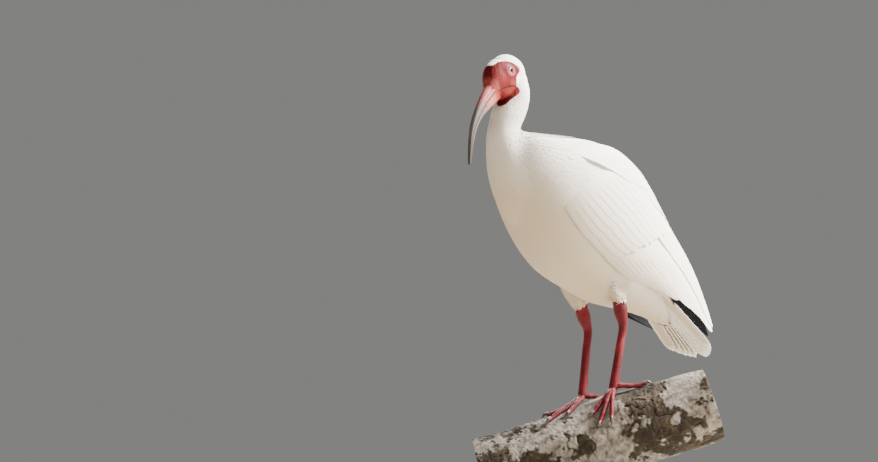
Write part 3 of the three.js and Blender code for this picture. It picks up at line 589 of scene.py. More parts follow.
def wing_pad(side):
    """A shield over the flank, as a closed tube of rings round its length."""
    middle = mix(WING_PAD["low"], WING_PAD["high"], 0.5)
    half = (WING_PAD["high"] - WING_PAD["low"]) / 2
    edge = np.sqrt(np.sin(np.linspace(0, np.pi, WING_PAD_POINTS)))
    rings = []
    for share in np.linspace(0, 1, 50):
        bow = math.sqrt(max(1 - (2 * share - 1) ** 2, 0.0004))
        reach = half * bow**0.6
        angle = np.radians(np.linspace(middle - reach, middle + reach, WING_PAD_POINTS))
        a = np.full(WING_PAD_POINTS, mix(WING_PAD["front"], WING_PAD["back"], share))
        outer, _ = wing_surface(side, a, angle, WING_PAD["top"] - WING_PAD["bevel"] * (1 - edge * bow))
        inner, _ = wing_surface(side, a, angle, -WING_PAD["depth"])
        rings.append(np.vstack([outer, inner[::-1]]))
    return np.array(rings)


# How often the folds are evened out, and how much each time at the neck's root and at the thighs
FOLDS = {"rounds": 110, "neck": 0.5, "thigh": 0.14}


def fill_folds(obj):
    """Evens out the surface where neck and thighs meet the body, as loose feathers do."""
    p = points_of(obj)
    share, _ = neck_share(p)
    above_knee = smooth(106, 120, p[:, 2] - STANCE[2])
    weight = np.maximum(
        FOLDS["neck"] * smooth(0.04, 0.12, share) * smooth(0.56, 0.46, share),
        FOLDS["thigh"] * smooth(0, 0.1, leg_share(p)) * above_knee,
    )[:, None]
    ends = read(obj.data.edges, "vertices", 2, np.int32)
    neighbours = np.bincount(ends.ravel(), minlength=len(p))[:, None]
    one, other = ends.T
    for _ in range(FOLDS["rounds"]):
        total = np.stack([
            np.bincount(one, p[other, k], len(p)) + np.bincount(other, p[one, k], len(p)) for k in range(3)
        ], 1)
        p = p + weight * (total / neighbours - p)
    move_points(obj, p)


SKIN_VOXEL = 1.3
SKIN_RELAX = 14
HEAD_VOXEL = 0.5
HEAD_RELAX = 3


def make_skin():
    """One closed skin for body, neck, head and thighs."""
    body = [torso_rings(), neck_rings(), covert_rings()]
    body += [thigh_rings(leg) for leg in LEGS.values()] + [wing_pad(side) for side in (-1, 1)]
    skin = fused("skin", body, SKIN_VOXEL, SKIN_RELAX)
    fill_folds(skin)
    shells = head_shells() + [neck_rings(HEAD_NECK_FROM)] + [lid_rings(side) for side in (1, -1)]
    head = fused("head_skin", shells, HEAD_VOXEL, HEAD_RELAX)
    shape_face(head)
    union = skin.modifiers.new("union", "BOOLEAN")
    union.operation = "UNION"
    union.solver = "MANIFOLD"
    union.object = head
    apply_modifiers(skin)
    bpy.data.objects.remove(head)
    return skin


# How far the lids stand off the eye's middle, and their rim's radius and half-thickness
LID = {"level": 3.4, "radius": 4.1, "thick": 0.85}


def lid_rings(side):
    """A fleshy rim round the eye, as rings of a torus."""
    turn = np.linspace(0, 2 * np.pi, 40, endpoint=False)
    middle = head_point(EYE[0], side * (EYE[1] + LID["level"]), EYE[2])
    rings = []
    for angle in np.append(turn, turn[0]):
        out = FORWARD * math.cos(angle) + UP * math.sin(angle)
        rings.append(oval(middle + out * LID["radius"], out, LEFT * side, LID["thick"], LID["thick"], 12))
    return np.array(rings)


def eye_distance(p):
    """Distance from the nearer eye's axis, in the head's side view."""
    f, _, u = head_coords(p)
    return np.hypot(f - EYE[0], u - EYE[2])


def shape_face(head):
    """Opens the lids over the eyes, and adds the folds of the bare skin."""
    p = points_of(head)
    n = normals_of(head)
    f, l, u = head_coords(p)
    side = np.sign(l)
    bare = face_mask(p)
    r = eye_distance(p)
    near_side = np.abs(l) > 6
    # The opening of the lids
    opening = (r < LID["radius"] - 0.5) & near_side
    floor = EYE[1] + np.sqrt(np.maximum(EYE_RADIUS**2 - r**2, 0)) - 1.4
    sunk = np.where(opening, np.minimum(np.abs(l), floor) - np.abs(l), 0)
    p = p + (sunk * side)[:, None] * LEFT
    # A hollow in front of the eye, the cheek's jowl, and fine folds
    hollow = 1.0 * bell(np.hypot(f - 24.5, u + 2.5), 0, 5) * near_side * bare
    jowl = 0.9 * bell(np.hypot((f - 13) / 1.5, u + 22.5), 0, 4.5) * near_side * bare
    jowl = jowl + 0.7 * bell(np.hypot((f - 12) / 2, u + 13), 0, 3.2) * near_side * bare
    hollow = hollow + 0.5 * bell(gape_distance(f, u), 0, 0.8) * (np.abs(l) > 3)
    folds = 0.22 * noise(p * [1, 1, 0.5], 3.0, 5, 2) * bare * smooth(4.5, 6.5, r)
    pores = 0.07 * noise(p, 0.9, 8, 1) * bare * smooth(4.5, 6, r)
    p = p + (jowl - hollow + folds + pores)[:, None] * n
    move_points(head, p)


# The bare face's edge in the head's side view, as places forward and up, and a middle that all of it
# can be seen from
FACE_MIDDLE = (20.0, -9.0)
FACE_EDGE = [
    (36.5, 1.5), (33.5, 2.6), (30, 5), (25, 7.6), (18, 9.3), (12.5, 9.2), (6, 7.4), (1, 5),
    (-0.6, 2.4), (3, -2.5), (5.9, -6.1), (5, -10.5), (2.6, -14.4), (-0.2, -18), (0.2, -21.5), (4.5, -25.5),
    (8, -29), (11, -33), (14.5, -37), (22, -42), (36, -45), (52, -36), (50, -12), (44, 0),
]
# The edge fades over this far to either side
FACE_EDGE_SOFT = 0.7
# The gape, from behind the corner of the mouth to where the bill's own mouth line starts
GAPE = [(5.5, -15.6), (11, -16.2), (17, -17.8), (22, -20), (27, -22.4), (33, -26)]


def gape_distance(f, u):
    """Distance from the gape in the head's side view."""
    away = np.full(len(f), 1e3)
    for (f0, u0), (f1, u1) in zip(GAPE, GAPE[1:]):
        df, du = f1 - f0, u1 - u0
        t = np.clip(((f - f0) * df + (u - u0) * du) / (df**2 + du**2), 0, 1)
        away = np.minimum(away, np.hypot(f - f0 - t * df, u - u0 - t * du))
    return away


def face_edge_reach(f, u):
    """How far inside the bare face's edge a point of the side view lies, in millimetres."""
    edge = np.array(FACE_EDGE) - FACE_MIDDLE
    angle = np.arctan2(edge[:, 1], edge[:, 0])
    order = np.argsort(angle)
    around = np.concatenate([angle[order] - 2 * np.pi, angle[order], angle[order] + 2 * np.pi])
    reach = np.tile(np.hypot(*edge.T)[order], 3)
    here = np.arctan2(u - FACE_MIDDLE[1], f - FACE_MIDDLE[0])
    return np.interp(here, around, reach) - np.hypot(f - FACE_MIDDLE[0], u - FACE_MIDDLE[1])


def face_mask(p):
    """1 over the bare face and 0 beyond its edge."""
    f, _, u = head_coords(p)
    return smooth(-FACE_EDGE_SOFT, FACE_EDGE_SOFT, face_edge_reach(f, u))


# The coat

GUIDE_SHARES = np.linspace(0, 1, 80)
GUIDE_POINTS = NECK_CURVE(GUIDE_SHARES)
GUIDE_TANGENTS = tangent(NECK_CURVE, GUIDE_SHARES)


def neck_share(p):
    """Share of the neck's path nearest to each point: 0 in the breast, 1 in the head."""
    found = np.empty(len(p), int)
    for start in range(0, len(p), 20000):
        chunk = p[start:start + 20000]
        distance = np.linalg.norm(chunk[:, None] - GUIDE_POINTS[None], axis=2)
        found[start:start + 20000] = distance.argmin(1)
    return GUIDE_SHARES[found], GUIDE_TANGENTS[found]


def leg_share(p):
    """How much each point belongs to a thigh below the body."""
    near = np.zeros(len(p))
    for leg in LEGS.values():
        knee = STANCE + leg["knee"]
        bare = STANCE + leg["bare"]
        height = smooth(knee[2] + 26, knee[2] - 2, p[:, 2])
        axis = bare + np.clip((p[:, 2] - bare[2]) / (knee[2] - bare[2]), 0, 2)[:, None] * (knee - bare)
        away = np.linalg.norm((p - axis)[:, :2], axis=1)
        near = np.maximum(near, height * smooth(24, 16, away))
    return near


def laid_flat(v, n):
    """Unit directions like v in the planes that the normals n stand on."""
    return unit(v - (v * n).sum(1)[:, None] * n)


def coat_lie(p, n):
    """The way that feathers point: tailwards, down the neck, off the face, and down the thighs."""
    share, along = neck_share(p)
    head = smooth(0.70, 0.86, share)
    neck = smooth(0.04, 0.42, share) * (1 - head)
    body = 1 - neck - head
    away = unit(p - head_point(30, 0, -12))
    lie = body[:, None] * AXIS - neck[:, None] * along + head[:, None] * away
    lie = lie - (2 * neck * body)[:, None] * UP
    return laid_flat(mix(lie, unit(np.array([0.25, 0, -1.0])), leg_share(p)[:, None]), n)


# The spacing, length and half-width of the coat's feathers: on the body, on its rear, on the neck
# and from which shares of its path, on the head and from which, by the bare face, and on the thighs
COAT_SIZES = [
    (2.25, 2.6, 1.35, (0.1, 0.45), 0.95, (0.5, 0.85), 0.62, 1.5),
    (17.0, 24.0, 10.0, (0.1, 0.5), 4.8, (0.55, 0.9), 2.2, 8.5),
    (3.1, 3.4, 1.35, (0.08, 0.5), 0.8, (0.55, 0.9), 0.42, 1.5),
]


def coat_sizes(p):
    """The spacing, length and half-width of the coat's feathers at each point."""
    share, _ = neck_share(p)
    f, _, u = head_coords(p)
    rear = smooth(60, 150, body_coords(p)[0])
    edge = smooth(6, 0, -face_edge_reach(f, u)) * smooth(0.6, 0.8, share)
    thigh = leg_share(p)
    sizes = []
    for on_body, on_rear, on_neck, neck_from, on_head, head_from, by_face, on_thigh in COAT_SIZES:
        size = mix(mix(on_body, on_rear, rear), on_neck, smooth(*neck_from, share))
        size = mix(size, on_head, smooth(*head_from, share))
        sizes.append(mix(mix(size, by_face, edge), on_thigh, thigh))
    return sizes


def coat_roots(skin, rng):
    """Points spread evenly over the skin, as close as the coat's sizes ask."""
    skin.data.calc_loop_triangles()
    corners = read(skin.data.loop_triangles, "vertices", 3, np.int32)
    n = normals_of(skin)
    tri = points_of(skin)[corners]
    area = np.linalg.norm(np.cross(tri[:, 1] - tri[:, 0], tri[:, 2] - tri[:, 0]), axis=1) / 2
    middle = tri.mean(1)
    spacing = coat_sizes(middle)[0]
    wanted = area / spacing**2 * 4
    wanted[~coated(middle)] = 0
    count = int(wanted.sum())
    chosen = rng.choice(len(area), count, p=wanted / wanted.sum())
    s, t = rng.random(count), rng.random(count)
    flip = s + t > 1
    s[flip], t[flip] = 1 - s[flip], 1 - t[flip]
    base = tri[chosen]
    roots = base[:, 0] + s[:, None] * (base[:, 1] - base[:, 0]) + t[:, None] * (base[:, 2] - base[:, 0])
    normals = unit(n[corners[chosen]].mean(1))
    reach = spacing[chosen]
    tree = KDTree(count)
    for i, place in enumerate(roots):
        tree.insert(place, i)
    tree.balance()
    gone = np.zeros(count, bool)
    kept = []
    for i in range(count):
        if gone[i]:
            continue
        kept.append(i)
        for _, other, _ in tree.find_range(roots[i], reach[i]):
            gone[other] = True
    return roots[kept], normals[kept]


# The wings' own feathers cover the body behind WING_FRONT, a place for each angle round the body,
# above WING_LOW, an angle for each place, and up to these
WING_FRONT = ((-40, 20, 30, 60, 75), (26, 26, -16, -6, 0))
WING_LOW = ((0, 60, 100, 160), (-30, -24, -18, -6))
WING_BACK = 150
WING_HIGH = 76


def coated(p):
    """Where small feathers grow: not on the bare face, nor under the wings' own feathers."""
    a, y, h = body_coords(p)
    share, _ = neck_share(p)
    rise = h / np.maximum(TORSO_TOP(a), 1)
    turn = np.degrees(np.arctan2(rise, np.abs(y) / np.maximum(TORSO_WIDTH(a), 1)))
    behind = (a > np.interp(turn, *WING_FRONT)) & (a < WING_BACK)
    beside = (turn > np.interp(a, *WING_LOW)) & (turn < WING_HIGH)
    return (face_mask(p) < 0.5) & ~(behind & beside & (share < 0.1))


def plumage_stain_and_shade(p, n):
    """How much the feathers are tinted beige, partly stain and partly painted shade: most where they face
    down, on the belly and under the tail.
    """
    share, _ = neck_share(p)
    # Beige grows where the feathers face away from the back: painted shade on the underside, with some
    # stain
    under = np.maximum(smooth(0.2, -0.8, n @ DORSAL), 0.45 * leg_share(p))
    return np.clip(under * mix(0.85, 0.5, smooth(0.1, 0.4, share)), 0, 1)


# A small feather: shares of its length with a ring of four points each, widths there, and the tip
TUFT_STATIONS = np.array([0.0, 0.4, 0.8])
TUFT_WIDTHS = np.array([0.45, 1.0, 0.78])
TUFT_FACES = [
    (0, 1, 5, 4), (1, 2, 6, 5), (2, 3, 7, 6), (3, 0, 4, 7),
    (4, 5, 9, 8), (5, 6, 10, 9), (6, 7, 11, 10), (7, 4, 8, 11),
    (3, 2, 1, 0),
]
TUFT_TIP_FACES = [(8, 9, 12), (9, 10, 12), (10, 11, 12), (11, 8, 12)]
TUFT_POINTS = 13
# How much of the bake's unwrap one small feather takes, and one flight feather
TUFT_PATCH = 0.003
FLIGHT_PATCH = 0.004
SOFTNESS = 0.93


def tufts(name, roots, normals, lie, length, half, rise, surface, rng):
    """Many small feathers as one mesh. Each is a thin closed vane that follows the skin."""
    count = len(roots)
    across = unit(np.cross(lie, normals))
    centres, ups = [], []
    for s in (*TUFT_STATIONS, 1.0):
        near, up = nearest(surface, roots + lie * (length * s)[:, None])
        centres.append(near + up * (rise * s - 0.3 * (1 - s))[:, None])
        ups.append(up)
    points = np.empty((count, TUFT_POINTS, 3))
    sway = rng.normal(0, 0.02, count) * length
    for k, (s, width) in enumerate(zip(TUFT_STATIONS, TUFT_WIDTHS)):
        side = laid_flat(across, ups[k])
        w = (half * width)[:, None]
        c = centres[k] + side * (sway * s**2)[:, None]
        thick = (0.06 + 0.05 * half * width)[:, None]
        drop = 0.05 * w
        points[:, 4 * k] = c - side * w - ups[k] * drop
        points[:, 4 * k + 1] = c + ups[k] * thick
        points[:, 4 * k + 2] = c + side * w - ups[k] * drop
        points[:, 4 * k + 3] = c - ups[k] * (drop + 0.05)
    points[:, 12] = centres[3] + laid_flat(across, ups[3]) * sway[:, None]
    start = (np.arange(count) * TUFT_POINTS)[:, None, None]
    quads = (np.array(TUFT_FACES)[None] + start).reshape(-1, 4)
    tips = (np.array(TUFT_TIP_FACES)[None] + start).reshape(-1, 3)
    obj = mesh_object(name, points.reshape(-1, 3), quads, tips)
    soften(obj, np.repeat(np.stack(ups, 1), (4, 4, 4, 1), axis=1).reshape(-1, 3))
    paint(obj, "shade", np.repeat(rng.random(count), TUFT_POINTS))
    # Beige on the feathers that face down: partly stain, partly painted shade
    paint(obj, "stain_and_shade", np.repeat(plumage_stain_and_shade(roots, normals), TUFT_POINTS))
    s = np.array([*np.repeat(TUFT_STATIONS, 4), 1.0])
    x = np.array([*np.tile([-1, 0, 1, 0], 3), 0.0])
    lay_out_spots(obj, roots, np.tile(x, count), np.tile(s, count), TUFT_PATCH)
    return obj


def soften(obj, outward):
    """Leans a feather piece's shading towards the form that it lies on, as fine barbs do."""
    own = normals_of(obj)
    lean = SOFTNESS * ((own * outward).sum(1) > -0.2)
    obj.data.normals_split_custom_set_from_vertices(unit(mix(own, outward, lean[:, None])))


def nearest(surface, places):
    found = [surface.find_nearest(place) for place in places]
    return np.array([hit[0] for hit in found]), np.array([hit[1] for hit in found])


def lay_out(obj, uv):
    """Stores a place on the bake's unwrap for each vertex."""
    layer = obj.data.uv_layers.new(name="OFBake")
    corners = read(obj.data.loops, "vertex_index", 1, np.int32).ravel()
    layer.data.foreach_set("uv", uv[corners].astype(np.float32).ravel())


def lay_out_spots(obj, roots, across, along, patch):
    """Gives each feather a small spot of the bake's unwrap, round its root's place there."""
    spots = np.column_stack([across * 0.5, along - 0.5]) * patch
    lay_out(obj, np.repeat(unwrap(roots), len(across) // len(roots), axis=0) + spots)


def unwrap(p):
    """The skin's own unwrap: a sheet round the body, one round the neck and one round the head."""
    a, y, h = body_coords(p)
    share, _ = neck_share(p)
    f, l, u = head_coords(p)
    turn = np.arctan2(y, h) / (2 * np.pi)
    body = np.column_stack([0.02 + 0.56 * (a + 115) / 355, 0.5 + 0.96 * turn])
    middle = STANCE[0] + np.interp(share, np.linspace(0, 1, len(NECK)), NECK[:, 0])
    collar = np.arctan2(p[:, 1], middle - p[:, 0])
    neck = np.column_stack([0.60 + 0.18 * share, 0.5 + 0.96 * collar / (2 * np.pi)])
    pole = np.arccos(np.clip(f / np.maximum(np.sqrt(f**2 + l**2 + u**2), 1e-6), -1, 1))
    head = np.column_stack([0.80 + 0.18 * pole / np.pi, 0.5 + 0.96 * np.arctan2(l, u) / (2 * np.pi)])
    thigh = leg_share(p) > 0.5
    legs = np.column_stack([
        np.where(p[:, 1] < 0, 0.04, 0.32) + 0.24 * (np.arctan2(p[:, 1], p[:, 0]) / (2 * np.pi) + 0.5),
        0.02 + (p[:, 2] - STANCE[2] - 90) / 1200,
    ])
    placed = np.where((share > 0.12)[:, None], neck, body)
    placed = np.where((share > 0.78)[:, None], head, placed)
    return np.where(thigh[:, None], legs, placed)


# Wings and tail

# The right wing hangs a little lower and wider at its tip
SPREAD = {-1: 0.0, 1: 0.36}
TIP_DROOP = {-1: 0, 1: 42}
# For each degree of droop, the feathers end this much sooner and bow this much less
DROOP = {"shortens": 0.6, "straightens": 0.3}


def wing_reach(side, a, rise):
    """The closed wing's half-width, and its height on the side of the body's axis that rise is on."""
    spread = 1 + SPREAD[side] * smooth(70, 170, a)
    return OUTER_WIDTH(a) * spread, np.where(rise > 0, OUTER_TOP(a), OUTER_BASE(a) * spread)


def wing_place(side, a, angle):
    sin = np.sin(angle)
    width, height = wing_reach(side, a, sin)
    return body_point(a, side * width * np.cos(angle), height * sin)


def wing_surface(side, a, angle, lift):
    """A point over the closed wing: angle 0 is its side, and 90 degrees the middle of the back."""
    place = wing_place(side, a, angle)
    along = wing_place(side, a + 1, angle) - wing_place(side, a - 1, angle)
    turn = wing_place(side, a, angle + 0.02) - wing_place(side, a, angle - 0.02)
    normal = unit(np.cross(along, turn))
    normal = np.where((normal[..., 1] * side < 0)[..., None], -normal, normal)
    return place + normal * np.asarray(lift)[..., None], np.linalg.norm(turn, axis=-1) / 0.04


VANE_STATIONS = 26
VANE_COLUMNS = 9
VANE = {"root": 0.4, "tip": 0.2, "layer": 0.34, "tilt": 0.06, "camber": 0.1, "shaft": 0.08}
# Shares along a feather, the same drawn towards the tip for the wings, and places across one
ALONG = np.linspace(0, 1, VANE_STATIONS)
WING_ALONG = mix(ALONG, ALONG**0.8, 0.6)
ACROSS = np.linspace(-1, 1, VANE_COLUMNS)


def vane_outline(t, blunt):
    """Half-width along a feather, as a share of its full half-width."""
    opening = mix(0.5, 1, smooth(0, 0.3, t))
    closing = np.sqrt(np.clip(1 - np.clip((t - blunt) / (1.001 - blunt), 0, 1) ** 2.2, 0, 1))
    return opening * np.maximum(closing, 0.02)


def frayed(t, rng):
    """A feather's slightly uneven edge, as a factor of its width."""
    return 1 + 0.03 * rng.normal(size=t.shape) * smooth(0.2, 0.6, t)


def shaft_rise(t, x):
    return VANE["shaft"] * bell(x, 0, 0.16) * (1 - t)


def vane_mesh(grids):
    """Points and quads of closed vanes, each from a grid of middle points and normals."""
    half = (mix(VANE["root"], VANE["tip"], ALONG) / 2)[:, None, None]
    rows, columns = VANE_STATIONS, VANE_COLUMNS
    size = rows * columns
    i, j = np.meshgrid(np.arange(rows - 1), np.arange(columns - 1), indexing="ij")
    p = (i * columns + j).ravel()
    top = np.stack([p, p + columns, p + columns + 1, p + 1], -1)
    base = top[:, ::-1] + size
    rim = [k * columns for k in range(rows)] + [(rows - 1) * columns + k for k in range(1, columns)]
    rim += [k * columns + columns - 1 for k in range(rows - 2, -1, -1)] + list(range(columns - 2, 0, -1))
    rim = np.array(rim)
    onward = np.roll(rim, -1)
    edge = np.stack([rim, rim + size, onward + size, onward], -1)
    quads = np.vstack([top, base, edge])
    points, faces = [], []
    for k, (middle, normal) in enumerate(grids):
        both = np.stack([middle + normal * half, middle - normal * half]).reshape(-1, 3)
        points.append(both)
        faces.append((quads if volume(both, quads) > 0 else quads[:, ::-1]) + 2 * size * k)
    return np.vstack(points), np.vstack(faces)


def grid_normals(grid, outward):
    along = np.gradient(grid, axis=0)
    across = np.gradient(grid, axis=1)
    normal = unit(np.cross(along, across))
    return np.where(((normal * outward).sum(-1) < 0)[..., None], -normal, normal)


def wing_vane(side, root, tip, half, lift, root_lift, bend, tilts, blunt, rng):
    """One feather of the closed wing: its lower edge stands out, its upper edge tucks under."""
    t, x = WING_ALONG[:, None], ACROSS[None, :]
    a = mix(root[0], tip[0], t)
    angle = mix(root[1], tip[1], t) - bend * 4 * t * (1 - t)
    level = mix(root_lift, lift, smooth(0, 0.35, t))
    across = x * half * vane_outline(t, blunt) * frayed(t, rng)
    _, per_radian = wing_surface(side, a, angle, 0.0)
    turn = np.minimum(angle + across / np.maximum(per_radian, 12), math.radians(88))
    height = level - across * mix(*tilts, t) + VANE["camber"] * (1 - x**2) + shaft_rise(t, x)
    a = a + 0 * x
    grid, _ = wing_surface(side, a, turn, height)
    outward, _ = wing_surface(side, a, turn, height + 1)
    return grid, grid_normals(grid, outward - grid)


# The tiers of the closed wing, from the ones beneath to the ones on top, each from its lowest
# feather to its highest: root and tip as (a, degrees), half-widths and lifts in millimetres
TIERS = {
    "primaries": dict(
        count=9, root=((38, -28), (54, -18)), tip=((226, 25), (190, 22)), half=(6.2, 7.4),
        lift=(-5.2, -2.4), bend=14, rise=-1.6, stacked=True, blunt=0.72,
    ),
    "secondaries": dict(
        count=12, root=((14, -27), (54, 18)), tip=((108, -21), (222, 32)), half=(8.5, 8.5),
        lift=(-0.6, -0.4), bend=5, blunt=0.8,
    ),
    "tertials": dict(
        count=8, root=((40, 20), (34, 74)), tip=((220, 44), (146, 82)), half=(9.5, 10.5), lift=(0.0, 0.2),
        blunt=0.78,
    ),
    "greater_coverts": dict(
        count=12, root=((-20, -28), (-4, 34)), tip=((50, -30), (96, 40)), half=(7.5, 8), lift=(0.5, 0.6),
        blunt=0.75,
    ),
    "median_coverts": dict(
        count=13, root=((-42, -28), (-32, 40)), tip=((16, -31), (50, 42)), half=(6.5, 7.5), lift=(0.9, 1.0),
        blunt=0.7,
    ),
    "hind_scapulars": dict(
        count=8, root=((-30, 30), (-10, 78)), tip=((72, 47), (104, 82)), half=(8.5, 9.5), lift=(1.0, 1.1),
        blunt=0.72, bow=10,
    ),
    "scapulars": dict(
        count=9, root=((-58, 24), (-36, 79)), tip=((20, 33), (66, 83)), half=(8.5, 9.5), lift=(1.6, 1.6),
        blunt=0.7, bow=22,
    ),
}


def tier_vanes(side, tier, rng):
    count, root, tip = tier["count"], tier["root"], tier["tip"]
    rise, bow, stacked = tier.get("rise", 4), tier.get("bow", 0), tier.get("stacked", False)
    slopes = []
    for (a, low), (b, high) in (root, tip):
        middle = np.array(math.radians((low + high) / 2))
        _, per_radian = wing_surface(side, np.array((a + b) / 2), middle, 0.0)
        pitch = abs(math.radians(high - low)) * float(per_radian) / (count - 1)
        slopes.append(0 if stacked else min(VANE["tilt"], VANE["layer"] / max(pitch, 1)))
    droop = TIP_DROOP[side] if stacked else 0
    bend = math.radians(tier.get("bend", 0) - droop * DROOP["straightens"])
    made = []
    for i in range(count):
        t = i / (count - 1)
        wander = rng.normal(0, 1)
        root_here = (mix(root[0][0], root[1][0], t), math.radians(mix(root[0][1], root[1][1], t)))
        tip_a = mix(tip[0][0], tip[1][0], t) - droop * DROOP["shortens"] + bow * 4 * t * (1 - t)
        tip_here = (tip_a + wander, math.radians(mix(tip[0][1], tip[1][1], t) - droop))
        half, level = mix(*tier["half"], t), mix(*tier["lift"], t)
        made.append(wing_vane(
            side, root_here, tip_here, half, level, level - rise, bend, slopes, tier["blunt"], rng,
        ))
    return made


def form_normals(side, grid):
    """Normals of the wing's whole form, without its feathers' own relief, at a vane's points."""
    a, y, h = body_coords(grid.reshape(-1, 3))
    width, height = wing_reach(side, a, h)
    angle = np.arctan2(h / height, side * y / width)
    return wing_surface(side, a, angle, 1.0)[0] - wing_surface(side, a, angle, 0.0)[0]


def vane_places(count):
    """Shares along, and places across, at each point of so many closed vanes."""
    along = np.tile(np.repeat(ALONG, VANE_COLUMNS), 2 * count)
    return along, np.tile(ACROSS, 2 * count * VANE_STATIONS)


def paint_vanes(obj, grids, dark, stain_and_shade, rng):
    """Stores what the feathers' finish and the bake read."""
    along, across = vane_places(len(grids))
    paint(obj, "dark", dark)
    paint(obj, "stain_and_shade", stain_and_shade)
    paint(obj, "shade", np.repeat(rng.random(len(grids)), 2 * VANE_STATIONS * VANE_COLUMNS))
    roots = np.array([middle[0, VANE_COLUMNS // 2] for middle, _ in grids])
    lay_out_spots(obj, roots, across, along, FLIGHT_PATCH)
    return obj


# The share of a primary's length from which it is black, on each side
BLACK_FROM = {-1: 0.62, 1: 0.4}


def make_wing(side, name):
    rng = np.random.default_rng(SEED + side)
    black = smooth(BLACK_FROM[side] - 0.03, BLACK_FROM[side] + 0.03, WING_ALONG)
    grids, dark = [], []
    for key, tier in TIERS.items():
        vanes = tier_vanes(side, tier, rng)
        grids += vanes
        here = black if key == "primaries" else 0 * black
        dark += [np.tile(np.repeat(here, VANE_COLUMNS), 2)] * len(vanes)
    points, faces = vane_mesh(grids)
    obj = mesh_object(name, points, faces)
    outward = np.vstack([np.tile(form_normals(side, middle), (2, 1)) for middle, _ in grids])
    soften(obj, outward)
    # Beige where the wing's form faces down: partly stain, partly painted shade
    return paint_vanes(obj, grids, np.concatenate(dark), plumage_stain_and_shade(points, unit(outward)), rng)


TAIL = {
    "pairs": 6, "root": 112, "tip": 227, "sink": 16, "root_fan": (2, 7), "fan": (3.5, 28), "flare": 0.6,
    "half": 8.6, "blunt": 0.82, "layer": 0.17, "camber": 0.25, "swing": 13, "short": 16,
}
TAIL_ROOF = {"half": 30, "drop": 3}


def tail_vane(order, side, rng):
    """One tail feather: the middle pair lies on top, each outer one tucks under the next inside."""
    share = order / (TAIL["pairs"] - 1)
    t, x = ALONG[:, None], ACROSS[None, :]
    tip = TAIL["tip"] - TAIL["short"] * share**2 - (5 if order == 0 else 0)
    a = mix(TAIL["root"], tip, t)
    y = mix(mix(*TAIL["root_fan"], share), mix(*TAIL["fan"], share), t**TAIL["flare"])
    h = mix(1, -TAIL["sink"], t**0.85) + (1.2 if order == 0 and side > 0 else 0)
    inner = np.where((order == 0) & (x < 0), 0.6, 1.0)
    across = x * TAIL["half"] * vane_outline(t, TAIL["blunt"]) * inner * frayed(t, rng)
    wide = y + across
    roof = TAIL_ROOF["drop"] * (wide / TAIL_ROOF["half"]) ** 2
    height = h - roof + across * TAIL["layer"] + TAIL["camber"] * (1 - x**2) + shaft_rise(t, x)
    grid = body_point(a + 0 * x, side * wide - TAIL["swing"] * t, height)
    return grid, grid_normals(grid, DORSAL)


def make_tail():
    rng = np.random.default_rng(SEED + 7)
    grids = [tail_vane(order, side, rng) for order in range(TAIL["pairs"]) for side in (-1, 1)]
    points, faces = vane_mesh(grids)
    obj = mesh_object("tail_feathers", points, faces)
    soften(obj, np.tile(DORSAL, (len(points), 1)))
    along, across = vane_places(len(grids))
    # The tail is tinted beige, partly stain and partly painted shade, except at each feather's edges and
    # tip
    rim = np.maximum(smooth(0.6, 0.95, np.abs(across)), smooth(0.93, 0.98, along))
    return paint_vanes(obj, grids, 0 * along, 0.7 * (1 - rim), rng)


# The bill: its slope in degrees, and its size, at shares of its length
BILL_SLOPE = profile([(0, 35), (0.2, 42), (0.4, 48), (0.58, 60), (0.75, 76), (1, 86)])
BILL_HEIGHT = profile([(0, 24), (0.13, 22.4), (0.28, 17.4), (0.43, 12.6), (0.58, 9.2), (0.8, 6), (1, 3.2)])
BILL_WIDTH = profile([(0, 15.4), (0.15, 13.6), (0.28, 11.2), (0.43, 9.2), (0.58, 7.6), (0.8, 5.2), (1, 3)])
MOUTH_HEIGHT = profile([(0, 1), (0.2, 2.2), (0.4, 1.6), (1, 0)])
BILL_STEPS = 90
BILL_AROUND = 40
MOUTH_GAP = 0.36
# The long groove from the nostril to near the tip, by its height on the side, and the nostril in it
GROOVE = {"level": 0.56, "half": 0.13, "depth": 0.12}
NOSTRIL = {"share": 0.13, "length": 0.05, "half": 0.07, "depth": 0.9}
BILL_TIP = {"length": 1.6, "rise": 0.45}


def bill_path():
    f, u = BILL_ROOT
    rows = []
    for i in range(BILL_STEPS + 1):
        share = i / BILL_STEPS
        rows.append((share, math.radians(float(BILL_SLOPE(share))), head_point(f, 0, u)))
        onward = math.radians(float(BILL_SLOPE((i + 0.5) / BILL_STEPS)))
        f += math.cos(onward) * BILL_LENGTH / BILL_STEPS
        u -= math.sin(onward) * BILL_LENGTH / BILL_STEPS
    return rows


